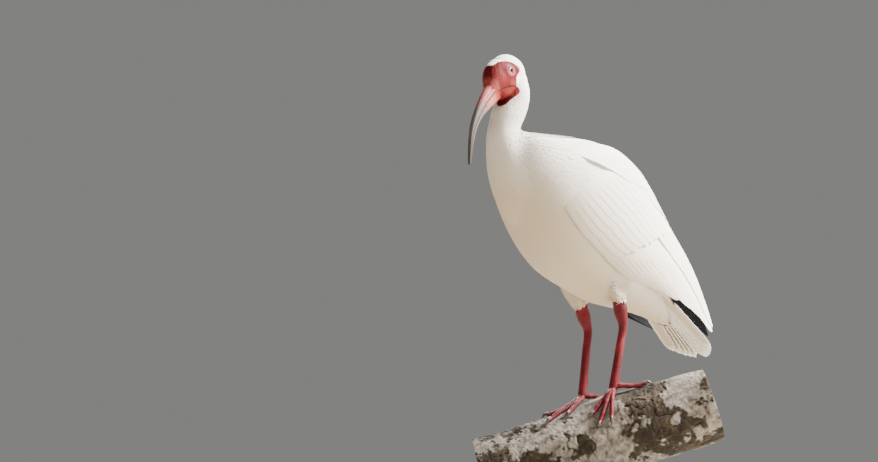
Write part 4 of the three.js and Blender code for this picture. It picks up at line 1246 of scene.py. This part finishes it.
def make_mandible(upper):
    sign = 1 if upper else -1
    turn = np.pi * np.arange(BILL_AROUND) / (BILL_AROUND - 1)
    sin = np.maximum(np.sin(turn), 0)
    rings, shares, edges = [], [], []
    for share, angle, c in bill_path():
        mouth = float(MOUTH_HEIGHT(share)) + sign * MOUTH_GAP / 2
        reach = sign * float(BILL_HEIGHT(share)) / 2 - mouth
        rise = mouth + reach * sin ** (1 if upper else 0.9)
        out = np.cos(turn) * (float(BILL_WIDTH(share)) / 2)
        if upper:
            groove = bell(sin, GROOVE["level"], GROOVE["half"])
            groove = groove * smooth(1.0, 0.75, share) * smooth(0.0, 0.08, share)
            out = out * (1 - GROOVE["depth"] * groove)
            slit = bell(share, NOSTRIL["share"], NOSTRIL["length"]) ** 2
            slit = slit * bell(sin, GROOVE["level"], NOSTRIL["half"])
            out = out - np.sign(out) * NOSTRIL["depth"] * slit
        rings.append(c + out[:, None] * LEFT + rise[:, None] * above(angle))
        shares.append(share)
        edges.append(smooth(1.1, 0.2, np.abs(rise - mouth)))
    # The tip closes in over its last short length
    _, angle, c = bill_path()[-1]
    onward = tilted(angle) * BILL_TIP["length"]
    last = rings[-1]
    for step in (0.35, 0.65, 0.85, 0.97):
        end = c + onward * step + above(angle) * (sign * BILL_TIP["rise"]) * step
        bow = math.sqrt(1 - step**2)
        rings.append(mix(last, end, 1 - bow) + onward * step * bow)
        shares.append(1.0)
        edges.append(edges[-1])
    points, quads, fans = tube_mesh(np.array(rings))
    obj = mesh_object("bill_upper_horn" if upper else "bill_lower_horn", points, quads, fans)
    share = np.concatenate([np.repeat(shares, BILL_AROUND), [0, 1]])
    rough = 0.10 * noise(points * [1, 1, 0.7], 2.2, 3, 2) * smooth(0.75, 0.1, share)
    move_points(obj, points + rough[:, None] * normals_of(obj))
    paint(obj, "tint", bill_colour(points, share, np.append(edges, [0, 0])))
    return obj


def layered(tone, *layers):
    """Colours laid over a tone one after another, each as strong as its weights say."""
    for colour, weight in layers:
        tone = mix(tone, colour, weight[:, None])
    return tone


ROOT_HORN = np.array([0.22, 0.024, 0.022])
PINK_HORN = np.array([0.41, 0.135, 0.125])
GREY_HORN = np.array([0.140, 0.122, 0.130])
MOTTLE_HORN = np.array([0.11, 0.07, 0.075])
MOUTH_SHADE = np.array([0.26, 0.14, 0.18])
DARK_HORN = np.array([0.050, 0.050, 0.036])


def bill_colour(p, share, edge):
    """Red where it leaves the face, then pink, then grey horn, and dark at the tip and mouth line."""
    patches = noise(p, 7, 21, 2) * 0.07
    tone = mix(ROOT_HORN, PINK_HORN, smooth(0.10, 0.25, share + 0.5 * patches)[:, None])
    tone = tone * (1 + 0.12 * noise(p * [1, 1, 0.5], 2.6, 22, 3))[:, None]
    mottle = smooth(0.1, 0.35, noise(p, 1.7, 23, 2)) * bell(share, 0.34, 0.06)
    tone = layered(
        tone, (GREY_HORN, smooth(0.30, 0.44, share + patches)), (MOTTLE_HORN, 0.75 * mottle),
        (DARK_HORN, 0.85 * smooth(0.62, 0.96, share + patches)),
    )
    return mix(tone, tone * MOUTH_SHADE, (edge * smooth(0.9, 0.6, share))[:, None])


# Legs and feet

BRANCH_CENTRE = STANCE - UP * (PERCH_DROP + PERCH_RADIUS / math.cos(PERCH_SLOPE))
BRANCH_ALONG = np.array([
    math.cos(PERCH_SLOPE) * math.cos(PERCH_TURN),
    math.cos(PERCH_SLOPE) * math.sin(PERCH_TURN),
    math.sin(PERCH_SLOPE),
])
BRANCH_FAR = np.array([-math.sin(PERCH_TURN), math.cos(PERCH_TURN), 0])
BRANCH_TOP = unit(np.cross(BRANCH_ALONG, BRANCH_FAR))


def bark_radius(t, angle):
    swell = 1.4 * np.sin(t / 31 + 0.6) + 0.9 * np.sin(t / 13 + 2 * angle)
    lobes = 1.1 * np.sin(3 * angle + 0.9 + t / 60) + 0.6 * np.sin(7 * angle + t / 23)
    return PERCH_RADIUS - t * 0.012 + (swell + lobes) * 0.8


def branch_point(t, angle, height):
    t, angle, height = np.broadcast_arrays(*(np.asarray(v, float) for v in (t, angle, height)))
    radius = (bark_radius(t, angle) + height)[..., None]
    outward = np.cos(angle)[..., None] * BRANCH_TOP + np.sin(angle)[..., None] * BRANCH_FAR
    return BRANCH_CENTRE + t[..., None] * BRANCH_ALONG + outward * radius


def on_branch(p):
    d = p - BRANCH_CENTRE
    return float(d @ BRANCH_ALONG), math.atan2(float(d @ BRANCH_FAR), float(d @ BRANCH_TOP))


# Each foot's toes as heading in degrees, length, radius and arch: the hind one comes first
TOES = {
    "left": [(2, 34, 2.9, 5.5), (-142, 37, 2.8, 3.4), (-125, 45, 3, 3.4), (-109, 38, 2.8, 3.2)],
    "right": [(14, 31, 2.9, 5), (-122, 37, 2.8, 3.2), (-141, 53, 3, 3.4), (-163, 44, 2.8, 3.4)],
}
TOE_JOINTS = (0.3, 0.56, 0.8)
CLAW_LENGTH = 6.5
CLAW_TAPER = (0.6, 0.56, 0.38, 0.06)


def toe_point(foot, heading, length, share, height):
    """A point over the bark, at a share of a length that leaves the foot in a heading."""
    t, angle = on_branch(foot)
    heading = math.radians(heading)
    t += math.cos(heading) * length * share
    return branch_point(t, angle + math.sin(heading) * length * share / PERCH_RADIUS, height)


def toe_rings(foot, toe):
    heading, length, radius, arch = toe
    points = [foot]
    for share in (0.12, 0.3, 0.5, 0.75, 1):
        height = mix(radius * 0.95, radius * 0.75, share) + arch * (1 - float(smooth(0.05, 0.75, share)))
        points.append(toe_point(foot, heading, length, share, height))
    shares = np.linspace(0, 1, 60)
    knuckles = sum(0.16 * bell(shares, joint, 0.055) for joint in TOE_JOINTS)
    scutes = 0.035 * np.abs(np.sin(shares * length * math.pi / 2.1))
    radii = radius * mix(1.12, 0.74, shares) * (0.94 + knuckles + scutes)
    return round_tube(spline(points), radii, 18, 60)


def claw_rings(foot, toe):
    heading, length, radius, _ = toe
    points = []
    for past, rise in ((-2.5, 0.95), (2, 1.15), (CLAW_LENGTH * 0.6, 0.75), (CLAW_LENGTH, -0.1)):
        points.append(toe_point(foot, heading, length + past, 1, radius * rise))
    return round_tube(spline(points), [radius * share for share in CLAW_TAPER], 16, 16)


def shank_rings(leg):
    top, joint, base = (STANCE + leg[key] for key in ("bare", "ankle", "foot"))
    start = top + 5 * unit(STANCE + leg["knee"] - top)
    curve = spline([start, top, mix(top, joint, 0.6), joint, mix(joint, base, 0.3), base])
    radii = even_profile(SHANK_RADII)(np.linspace(0, 1, 130))
    scutes = 1 + 0.02 * np.abs(np.sin(np.linspace(0, 46 * math.pi, 130)))
    return round_tube(curve, radii * scutes, 28, 130)


def make_leg(name):
    leg = LEGS[name]
    foot = STANCE + leg["foot"]
    pad = ball(foot, (UP, BRANCH_ALONG, BRANCH_FAR), (4.4, 5, 5), 24, 16)
    shells = [shank_rings(leg), pad] + [toe_rings(foot, toe) for toe in TOES[name]]
    return fused(f"{name}_leg_skin", shells, 0.5, 2)


def make_claws(name):
    foot = STANCE + LEGS[name]["foot"]
    return tubes_object(f"{name}_claws", [claw_rings(foot, toe) for toe in TOES[name]])


# Branch and stand

def make_branch():
    t = np.linspace(-PERCH_LENGTH / 2, PERCH_LENGTH / 2, 300)[:, None]
    angle = (2 * np.pi * np.arange(260) / 260)[None, :]
    rings = branch_point(t, angle, 0)
    flat = rings.reshape(-1, 3)
    outward = unit(flat - (BRANCH_CENTRE + ((flat - BRANCH_CENTRE) @ BRANCH_ALONG)[:, None] * BRANCH_ALONG))
    lichen = lichen_cover(flat, outward)
    groove = smooth(0.10, 0.0, np.abs(noise(stretched(flat), 11, 40, 3))) * (1 - 0.8 * lichen)
    height = 0.8 * noise(flat, 16, 41, 3) + 0.45 * noise(flat, 2.6, 42, 2) - 1.2 * groove + 0.45 * lichen
    clear = near_toes(flat)
    flat = flat + outward * (np.minimum(height, 0.6) * (1 - clear) - 0.5)[:, None]
    points, quads, fans = tube_mesh(flat.reshape(rings.shape))
    obj = mesh_object("branch", points, quads, fans)
    obj.data.polygons.foreach_set("use_smooth", np.arange(len(quads) + len(fans)) < len(quads))
    paint(obj, "lichen", np.append(lichen, [0, 0]))
    paint(obj, "crack", np.append(groove, [0, 0]))
    return obj


def stretched(p):
    """The same points squeezed along the branch, so that noise over them runs along the bark."""
    along = (p - BRANCH_CENTRE) @ BRANCH_ALONG
    return p - (along * 0.6)[:, None] * BRANCH_ALONG


def lichen_cover(p, outward):
    """Patches of pale lichen, more of them on top, with crumbled edges."""
    patches = noise(p, 36, 50, 3) + 0.42 * noise(p, 9, 51, 3) + 0.22 * noise(p, 3, 52, 2)
    return smooth(0.07, 0.24, patches + 0.12 * outward[:, 2])


def near_toes(p):
    """1 where a toe lies on the bark, so that the bark stays down there."""
    near = np.zeros(len(p))
    for name, leg in LEGS.items():
        for toe in TOES[name]:
            for ring in toe_rings(STANCE + leg["foot"], toe)[::6]:
                near = np.maximum(near, smooth(8, 5, np.linalg.norm(p - ring.mean(0), axis=1)))
    return near


def make_base():
    length, width, height = BASE_SIZE
    rings = []
    for inset, z in base_edge(height):
        corner = BASE_CORNER - inset
        ring = []
        for k, (sx, sy) in enumerate(((1, -1), (1, 1), (-1, 1), (-1, -1))):
            middle = np.array([sx * (length / 2 - BASE_CORNER), sy * (width / 2 - BASE_CORNER), z])
            for step in range(17):
                turn = math.pi / 2 * (k - 1 + step / 16)
                ring.append(middle + corner * np.array([math.cos(turn), math.sin(turn), 0]))
        rings.append(ring)
    return tubes_object("stand_plate", [np.array(rings)])


# The plate's edge is rounded with these radii, and its faces start this far in
BASE_ROUND = {"bottom": 1.0, "top": 2.4}
BASE_FLAT = {"bottom": 2.2, "top": 3.2}


def base_edge(height):
    """The plate's rounded rim, as insets and heights from its underside to its top."""
    low, high = BASE_ROUND["bottom"], BASE_ROUND["top"]
    bottom = [(low - low * math.sin(s), low - low * math.cos(s)) for s in np.linspace(0, math.pi / 2, 5)]
    top = [
        (high - high * math.cos(s), height - high + high * math.sin(s))
        for s in np.linspace(0, math.pi / 2, 9)
    ]
    return [(BASE_FLAT["bottom"], 0)] + bottom + top + [(BASE_FLAT["top"], height)]


def make_rod(number, step):
    """A rod with a collar on the plate, turned from an outline of radii and heights."""
    centre = BRANCH_CENTRE + BRANCH_ALONG * step
    top = centre[2] - PERCH_RADIUS + ROD_SINK
    plate = BASE_SIZE[2]
    outline = [
        (0.4, plate - ROD_SOCKET), (ROD_RADIUS, plate - ROD_SOCKET), (ROD_RADIUS, plate + 0.1),
        (ROD_RADIUS + 4, plate + 0.1), (ROD_RADIUS + 4, plate + 2.2), (ROD_RADIUS + 3.2, plate + 3),
        (ROD_RADIUS, plate + 3.2), (ROD_RADIUS, top - 0.6), (ROD_RADIUS - 0.6, top), (0.4, top),
    ]
    turn = 2 * np.pi * np.arange(48) / 48
    circle = np.column_stack([np.cos(turn), np.sin(turn), 0 * turn])
    rings = np.array([centre * [1, 1, 0] + (circle * r + UP * h) for r, h in outline])
    obj = tubes_object(f"rod_{number}", [rings])
    obj.data.set_sharp_from_angle(angle=math.radians(35))
    return obj


# Finishes

FEATHER_WHITE = (0.93, 0.915, 0.875, 1)
FEATHER_CREAM = (0.86, 0.80, 0.70, 1)
# Beige of the belly, thighs and undertail: partly stain, partly painted shade
FEATHER_STAIN_AND_SHADE = (0.47, 0.36, 0.23, 1)
FEATHER_BLACK = (0.005, 0.005, 0.008, 1)
CRACK_BROWN = (0.02, 0.014, 0.01, 1)


def feather_finish(name, dark=False):
    sheen = 0.0 if dark else 0.15
    made = material(name, 0.8, Sheen_Weight=sheen, Sheen_Roughness=0.5, Specular_IOR_Level=0.1)
    nodes = Nodes(made)
    colour = nodes.mix(nodes.attribute("shade"), FEATHER_WHITE, FEATHER_CREAM)
    colour = nodes.mix(0.22, FEATHER_WHITE, colour)
    # Beige laid on by the stain mask: partly stain, partly painted shade
    colour = nodes.mix(nodes.attribute("stain_and_shade"), colour, FEATHER_STAIN_AND_SHADE)
    if dark:
        colour = nodes.mix(nodes.attribute("dark"), colour, FEATHER_BLACK)
    nodes.base(colour)
    return made


def add_bump(nodes, grain):
    """Fine relief from noise of a scale and detail, with a strength and a depth in metres."""
    if grain:
        scale, detail, strength, distance = grain
        nodes.bump(nodes.noise(scale, detail), strength, distance)


def tinted_finish(name, roughness, specular, grain=None):
    """A finish whose colour is the mesh's own tint."""
    made = material(name, roughness, Specular_IOR_Level=specular)
    nodes = Nodes(made)
    nodes.base(nodes.attribute("tint", "Color"))
    add_bump(nodes, grain)
    return made


def mottled_finish(name, roughness, mottle, stops, grain=None, **inputs):
    """A finish of close tones along noise of a scale, detail and distortion."""
    made = material(name, roughness, **inputs)
    nodes = Nodes(made)
    nodes.base(nodes.ramp(nodes.noise(*mottle), *stops))
    add_bump(nodes, grain)
    return made


def leg_finish():
    made = material("leg_scales", 0.5, Specular_IOR_Level=0.22)
    nodes = Nodes(made)
    cells = nodes.texture("ShaderNodeTexVoronoi", Scale=520.0, feature="DISTANCE_TO_EDGE")
    cells = cells.outputs["Distance"]
    red = nodes.ramp(
        nodes.noise(55, 3),
        (0.35, (0.11, 0.004, 0.011)), (0.6, (0.17, 0.008, 0.018)), (0.8, (0.26, 0.024, 0.042)),
    )
    edge = nodes.ramp(cells, (0.0, (0.55, 0.5, 0.5)), (0.12, (1, 1, 1)))
    nodes.base(nodes.mix(0.8, red, edge, "MULTIPLY"))
    nodes.bump(nodes.ramp(cells, (0.0, (0, 0, 0)), (0.2, (1, 1, 1))), 0.5, 0.0004)
    return made


def bark_finish():
    made = material("bark_lichen", 0.92)
    nodes = Nodes(made)
    bark = nodes.ramp(
        nodes.noise(60, 8, 1.0),
        (0.3, (0.010, 0.007, 0.004)), (0.5, (0.030, 0.021, 0.012)), (0.75, (0.085, 0.060, 0.038)),
    )
    lichen = nodes.ramp(
        nodes.noise(130, 8, 0.6),
        (0.3, (0.07, 0.058, 0.045)), (0.48, (0.21, 0.185, 0.165)), (0.7, (0.36, 0.335, 0.305)),
    )
    colour = nodes.mix(nodes.attribute("lichen"), bark, lichen)
    nodes.base(nodes.mix(nodes.times(nodes.attribute("crack"), 0.7), colour, CRACK_BROWN))
    nodes.bump(nodes.noise(420, 8), 0.6, 0.0012)
    return made


# Painted colours

SKIN_RED = np.array([0.120, 0.009, 0.010])
SKIN_SALMON = np.array([0.24, 0.036, 0.026])
SKIN_PINK = np.array([0.33, 0.080, 0.072])
# Painted shade for the bare skin, laid where its hollows, creases and underside fall in shade
SKIN_PAINTED_SHADE = np.array([0.070, 0.005, 0.005])
SKIN_CREAM = np.array([0.80, 0.72, 0.62])
SKIN_ROSE = np.array([0.165, 0.018, 0.021])
LID_PINK = np.array([0.37, 0.10, 0.15])
LID_GREY = np.array([0.17, 0.07, 0.10])
IRIS_DARK = np.array([0.12, 0.02, 0.04])
IRIS_PALE = np.array([0.46, 0.20, 0.27])
PUPIL = np.array([0.004, 0.003, 0.004])
PUPIL_RADIUS = 2.1


def skin_colour(p):
    """The bare face's reds, with painted shade in its hollows and creases, under the bill and along the
    gape, and the coat's own cream elsewhere.
    """
    f, _, u = head_coords(p)
    r = eye_distance(p)
    tone = layered(
        SKIN_RED + 0 * p,
        (SKIN_ROSE, 0.7 * bell(np.hypot(f - 25, u + 11), 0, 6)),
        (SKIN_SALMON, 0.9 * bell(np.hypot((f - 11) / 2, u + 14), 0, 3.5)),
        (SKIN_SALMON, 0.7 * bell(np.hypot((f - 14) / 1.4, u + 22), 0, 4.5)),
        (SKIN_PINK, 0.7 * smooth(29, 36, f - 0.6 * (u + 16)) * smooth(-8, -15, u)),
        # Painted shade: on the front of the face by the bill's root, in front of the eye, in the crease at
        # the corner of the mouth between the jowls, on the throat under the bill, and along the gape
        (SKIN_PAINTED_SHADE, 0.75 * bell(np.hypot((f - 31) / 1.3, u - 0.5), 0, 4)),
        (SKIN_PAINTED_SHADE, 0.55 * bell(np.hypot(f - 25, u - 2), 0, 3.6)),
        (SKIN_PAINTED_SHADE, 0.4 * bell(np.hypot(f - 12, (u + 18) / 0.6), 0, 3)),
        (SKIN_PAINTED_SHADE, 0.75 * smooth(-26.5, -30, u + 0.35 * (f - 14))),
        (SKIN_PAINTED_SHADE, 0.9 * bell(gape_distance(f, u), 0, 0.95)),
    )
    tone = tone * (1 + 0.14 * noise(p, 2.4, 60, 3) + 0.08 * noise(p, 0.9, 61, 2))[:, None]
    rim = bell(face_edge_reach(f, u), 0.6, 1.1) * smooth(12, 4, f) * smooth(-14, -2, u)
    tone = layered(
        tone, (LID_GREY, 0.7 * rim), (LID_PINK, 0.8 * smooth(6.6, 5.0, r)),
        (LID_GREY, 0.55 * bell(r, 6.6, 0.8) * smooth(2, -3, f - EYE[0] - u)),
    )
    return np.clip(mix(SKIN_CREAM, tone, smooth(0.15, 0.6, face_mask(p))[:, None]), 0, 1)


def make_eye(side):
    middle = head_point(EYE[0], side * EYE[1], EYE[2])
    rings = ball(middle, (LEFT * side, UP, FORWARD), (EYE_RADIUS,) * 3, 64, 64)
    obj = tubes_object("left_eye" if side > 0 else "right_eye", [rings])
    p = points_of(obj)
    r = np.hypot((p - middle) @ FORWARD, (p - middle) @ UP)
    # The eyeball's rim under the lids is painted shade
    paint(obj, "tint", layered(
        IRIS_DARK, (IRIS_PALE, bell(r, 2.8, 0.8)),
        (PUPIL, smooth(PUPIL_RADIUS + 0.15, PUPIL_RADIUS - 0.1, r)), (SKIN_PAINTED_SHADE, smooth(3.5, 3.9, r)),
    ))
    return obj


# Camera, light and floor

VIEW = {"azimuth": -40, "elevation": -8, "distance": 2200, "millimetres_per_pixel": 1.05}
PHOTO_SIZE = (878, 462)
TARGET_PIXEL = (572, 207)
SENSOR = 36
# Lights aim here, and like them this is in metres
LIGHT_AIM = (-0.03, 0, 0.3)
LIGHTS = {
    "key": dict(place=(1.30, -0.95, 1.75), size=0.8, power=380, colour=(1, 0.955, 0.87)),
    "rim": dict(place=(0.9, 1.6, 1.7), size=1.0, power=60, colour=(1, 0.98, 0.94)),
}
WORLD_COLOUR = (0.50, 0.50, 0.48, 1)
WORLD_STRENGTH = 0.45
FLOOR = {"half": 8000, "level": -0.2, "colour": (0.60, 0.55, 0.47, 1)}


def add_looking(name, data, place, aim):
    """An object in the scene that looks from a place at an aim, both in metres."""
    obj = bpy.data.objects.new(name, data)
    obj.location = place
    obj.rotation_euler = Vector(np.subtract(aim, place)).to_track_quat("-Z", "Y").to_euler()
    bpy.context.scene.collection.objects.link(obj)
    return obj


def make_camera():
    azimuth, elevation = math.radians(VIEW["azimuth"]), math.radians(VIEW["elevation"])
    back = np.array([
        math.sin(azimuth) * math.cos(elevation),
        -math.cos(azimuth) * math.cos(elevation),
        math.sin(elevation),
    ])
    right = np.array([math.cos(azimuth), math.sin(azimuth), 0])
    up = np.cross(back, right)
    scale = VIEW["millimetres_per_pixel"]
    place = BODY + back * VIEW["distance"]
    offset = right * (TARGET_PIXEL[0] - PHOTO_SIZE[0] / 2) - up * (TARGET_PIXEL[1] - PHOTO_SIZE[1] / 2)
    aim = BODY - offset * scale
    data = bpy.data.cameras.new("camera")
    data.sensor_width = SENSOR
    data.lens = SENSOR * np.linalg.norm(aim - place) / scale / PHOTO_SIZE[0]
    bpy.context.scene.camera = add_looking("camera", data, place * MM, aim * MM)


def make_light(name, place, size, power, colour):
    data = bpy.data.lights.new(name, "AREA")
    data.size = size
    data.energy = power
    data.color = colour
    add_looking(name, data, place, LIGHT_AIM)


def make_stage():
    half, level = FLOOR["half"], FLOOR["level"]
    points = [(x * half, y * half, level) for x, y in ((-1, -1), (1, -1), (1, 1), (-1, 1))]
    floor = mesh_object("floor", points, [(0, 1, 2, 3)])
    floor.data.materials.append(material("pale_floor", 0.9, Base_Color=FLOOR["colour"]))
    world = bpy.data.worlds.new("studio")
    bpy.context.scene.world = world
    world.use_nodes = True
    world.node_tree.nodes["Background"].inputs[0].default_value = WORLD_COLOUR
    world.node_tree.nodes["Background"].inputs[1].default_value = WORLD_STRENGTH
    for name, light in LIGHTS.items():
        make_light(name, **light)


# Putting it together

# Where the coat is cut into pieces: shares of the neck's path, a place along the body in
# millimetres, and a share of thigh
COAT_CUTS = {"neck": 0.12, "upper_neck": 0.4, "head": 0.68, "rear": 10, "thigh": 0.4}


def coat_regions(roots, share):
    a = body_coords(roots)[0]
    low, middle, high = (COAT_CUTS[key] for key in ("neck", "upper_neck", "head"))
    thigh = leg_share(roots) > COAT_CUTS["thigh"]
    trunk = (share <= low) & ~thigh
    return {
        "coat_head": share > high,
        "coat_neck_upper": (share > middle) & (share <= high),
        "coat_neck_lower": (share > low) & (share <= middle),
        "coat_thighs": (share <= low) & thigh,
        "coat_breast": trunk & (a < COAT_CUTS["rear"]),
        "coat_rear": trunk & (a >= COAT_CUTS["rear"]),
    }


def coat_ground(skin):
    """What the coat lies on: the skin, and the shanks under the thighs' lowest feathers."""
    vertices = [tuple(v) for v in points_of(skin)]
    faces = [tuple(f.vertices) for f in skin.data.polygons]
    for leg in LEGS.values():
        points, quads, _ = tube_mesh(shank_rings(leg))
        faces += [tuple(quad) for quad in quads + len(vertices)]
        vertices += [tuple(v) for v in points]
    return BVHTree.FromPolygons(vertices, faces)


def make_coat(skin):
    rng = np.random.default_rng(SEED)
    roots, normals = coat_roots(skin, rng)
    lie = coat_lie(roots, normals)
    _, length, half = coat_sizes(roots)
    count = len(roots)
    turn = rng.normal(0, math.radians(3), count)[:, None]
    lie = unit(lie * np.cos(turn) + np.cross(normals, lie) * np.sin(turn))
    length = length * rng.uniform(0.92, 1.08, count)
    half = half * rng.uniform(0.9, 1.1, count)
    share, _ = neck_share(roots)
    rise = mix(mix(1.0, 0.9, smooth(0.1, 0.5, share)), 1.4, leg_share(roots))
    rise = mix(rise, 0.7, smooth(0.6, 0.9, share)) * rng.uniform(0.95, 1.05, count)
    ground = coat_ground(skin)
    made = []
    for name, chosen in coat_regions(roots, share).items():
        feathers = [values[chosen] for values in (roots, normals, lie, length, half, rise)]
        made.append(tufts(name, *feathers, ground, rng))
        print(name, chosen.sum())
    return made


make_camera()
make_stage()

plumage = feather_finish("white_feathers")
flight = feather_finish("flight_feathers", dark=True)
skin = make_skin()
paint(skin, "tint", skin_colour(points_of(skin)))
lay_out(skin, unwrap(points_of(skin)))
coat = make_coat(skin)
bare = tinted_finish("bare_skin_red", 0.7, 0.1, (900, 4, 0.35, 0.0004))
finish_piece(skin, bare, "plumage", "torso", "neck", "head", "thigh_left", "thigh_right")
for piece in coat:
    finish_piece(piece, plumage, "plumage")
finish_piece(make_wing(-1, "left_wing_feathers"), flight, "plumage", "wing_left")
finish_piece(make_wing(1, "right_wing_feathers"), flight, "plumage", "wing_right")
finish_piece(make_tail(), flight, "plumage", "tail")

horn = tinted_finish("bill_horn", 0.6, 0.15, (700, 4, 0.25, 0.0003))
finish_piece(make_mandible(True), horn, "bill", "bill_upper")
finish_piece(make_mandible(False), horn, "bill", "bill_lower")
gloss = tinted_finish("eye_gloss", 0.06, 0.08)
finish_piece(make_eye(1), gloss, "eye", "eye_left")
finish_piece(make_eye(-1), gloss, "eye", "eye_right")

scales = leg_finish()
claw = mottled_finish("claw_horn", 0.35, (300, 2), ((0.3, (0.05, 0.035, 0.03)), (0.8, (0.14, 0.09, 0.07))))
for name in LEGS:
    finish_piece(make_leg(name), scales, "bare_skin", f"leg_{name}", f"foot_{name}")
    finish_piece(make_claws(name), claw, "bare_skin")

branch = finish_piece(make_branch(), bark_finish(), "bark", "perch")
branch.data.materials.append(mottled_finish(
    "cut_wood", 0.75, (90, 6, 2.0), ((0.35, (0.36, 0.25, 0.15)), (0.65, (0.52, 0.39, 0.25))),
    (500, 4, 0.3, 0.0004),
))
cut = [0 if face.use_smooth else 1 for face in branch.data.polygons]
branch.data.polygons.foreach_set("material_index", cut)

black = mottled_finish(
    "satin_black_paint", 0.38, (25, 4), ((0.3, (0.018, 0.018, 0.019)), (0.7, (0.03, 0.03, 0.031))),
    (900, 3, 0.12, 0.0003),
)
finish_piece(make_base(), black, "stand_paint", "stand_base")
steel = mottled_finish(
    "brushed_steel", 0.3, (400, 3), ((0.3, (0.50, 0.50, 0.50)), (0.7, (0.60, 0.60, 0.61))),
    (1500, 2, 0.1, 0.0002), Metallic=1.0, Anisotropic=0.5,
)
for number, step in enumerate((-ROD_STEP, ROD_STEP), 1):
    finish_piece(make_rod(number, step), steel, "rod_steel", f"stand_rod_{number}")
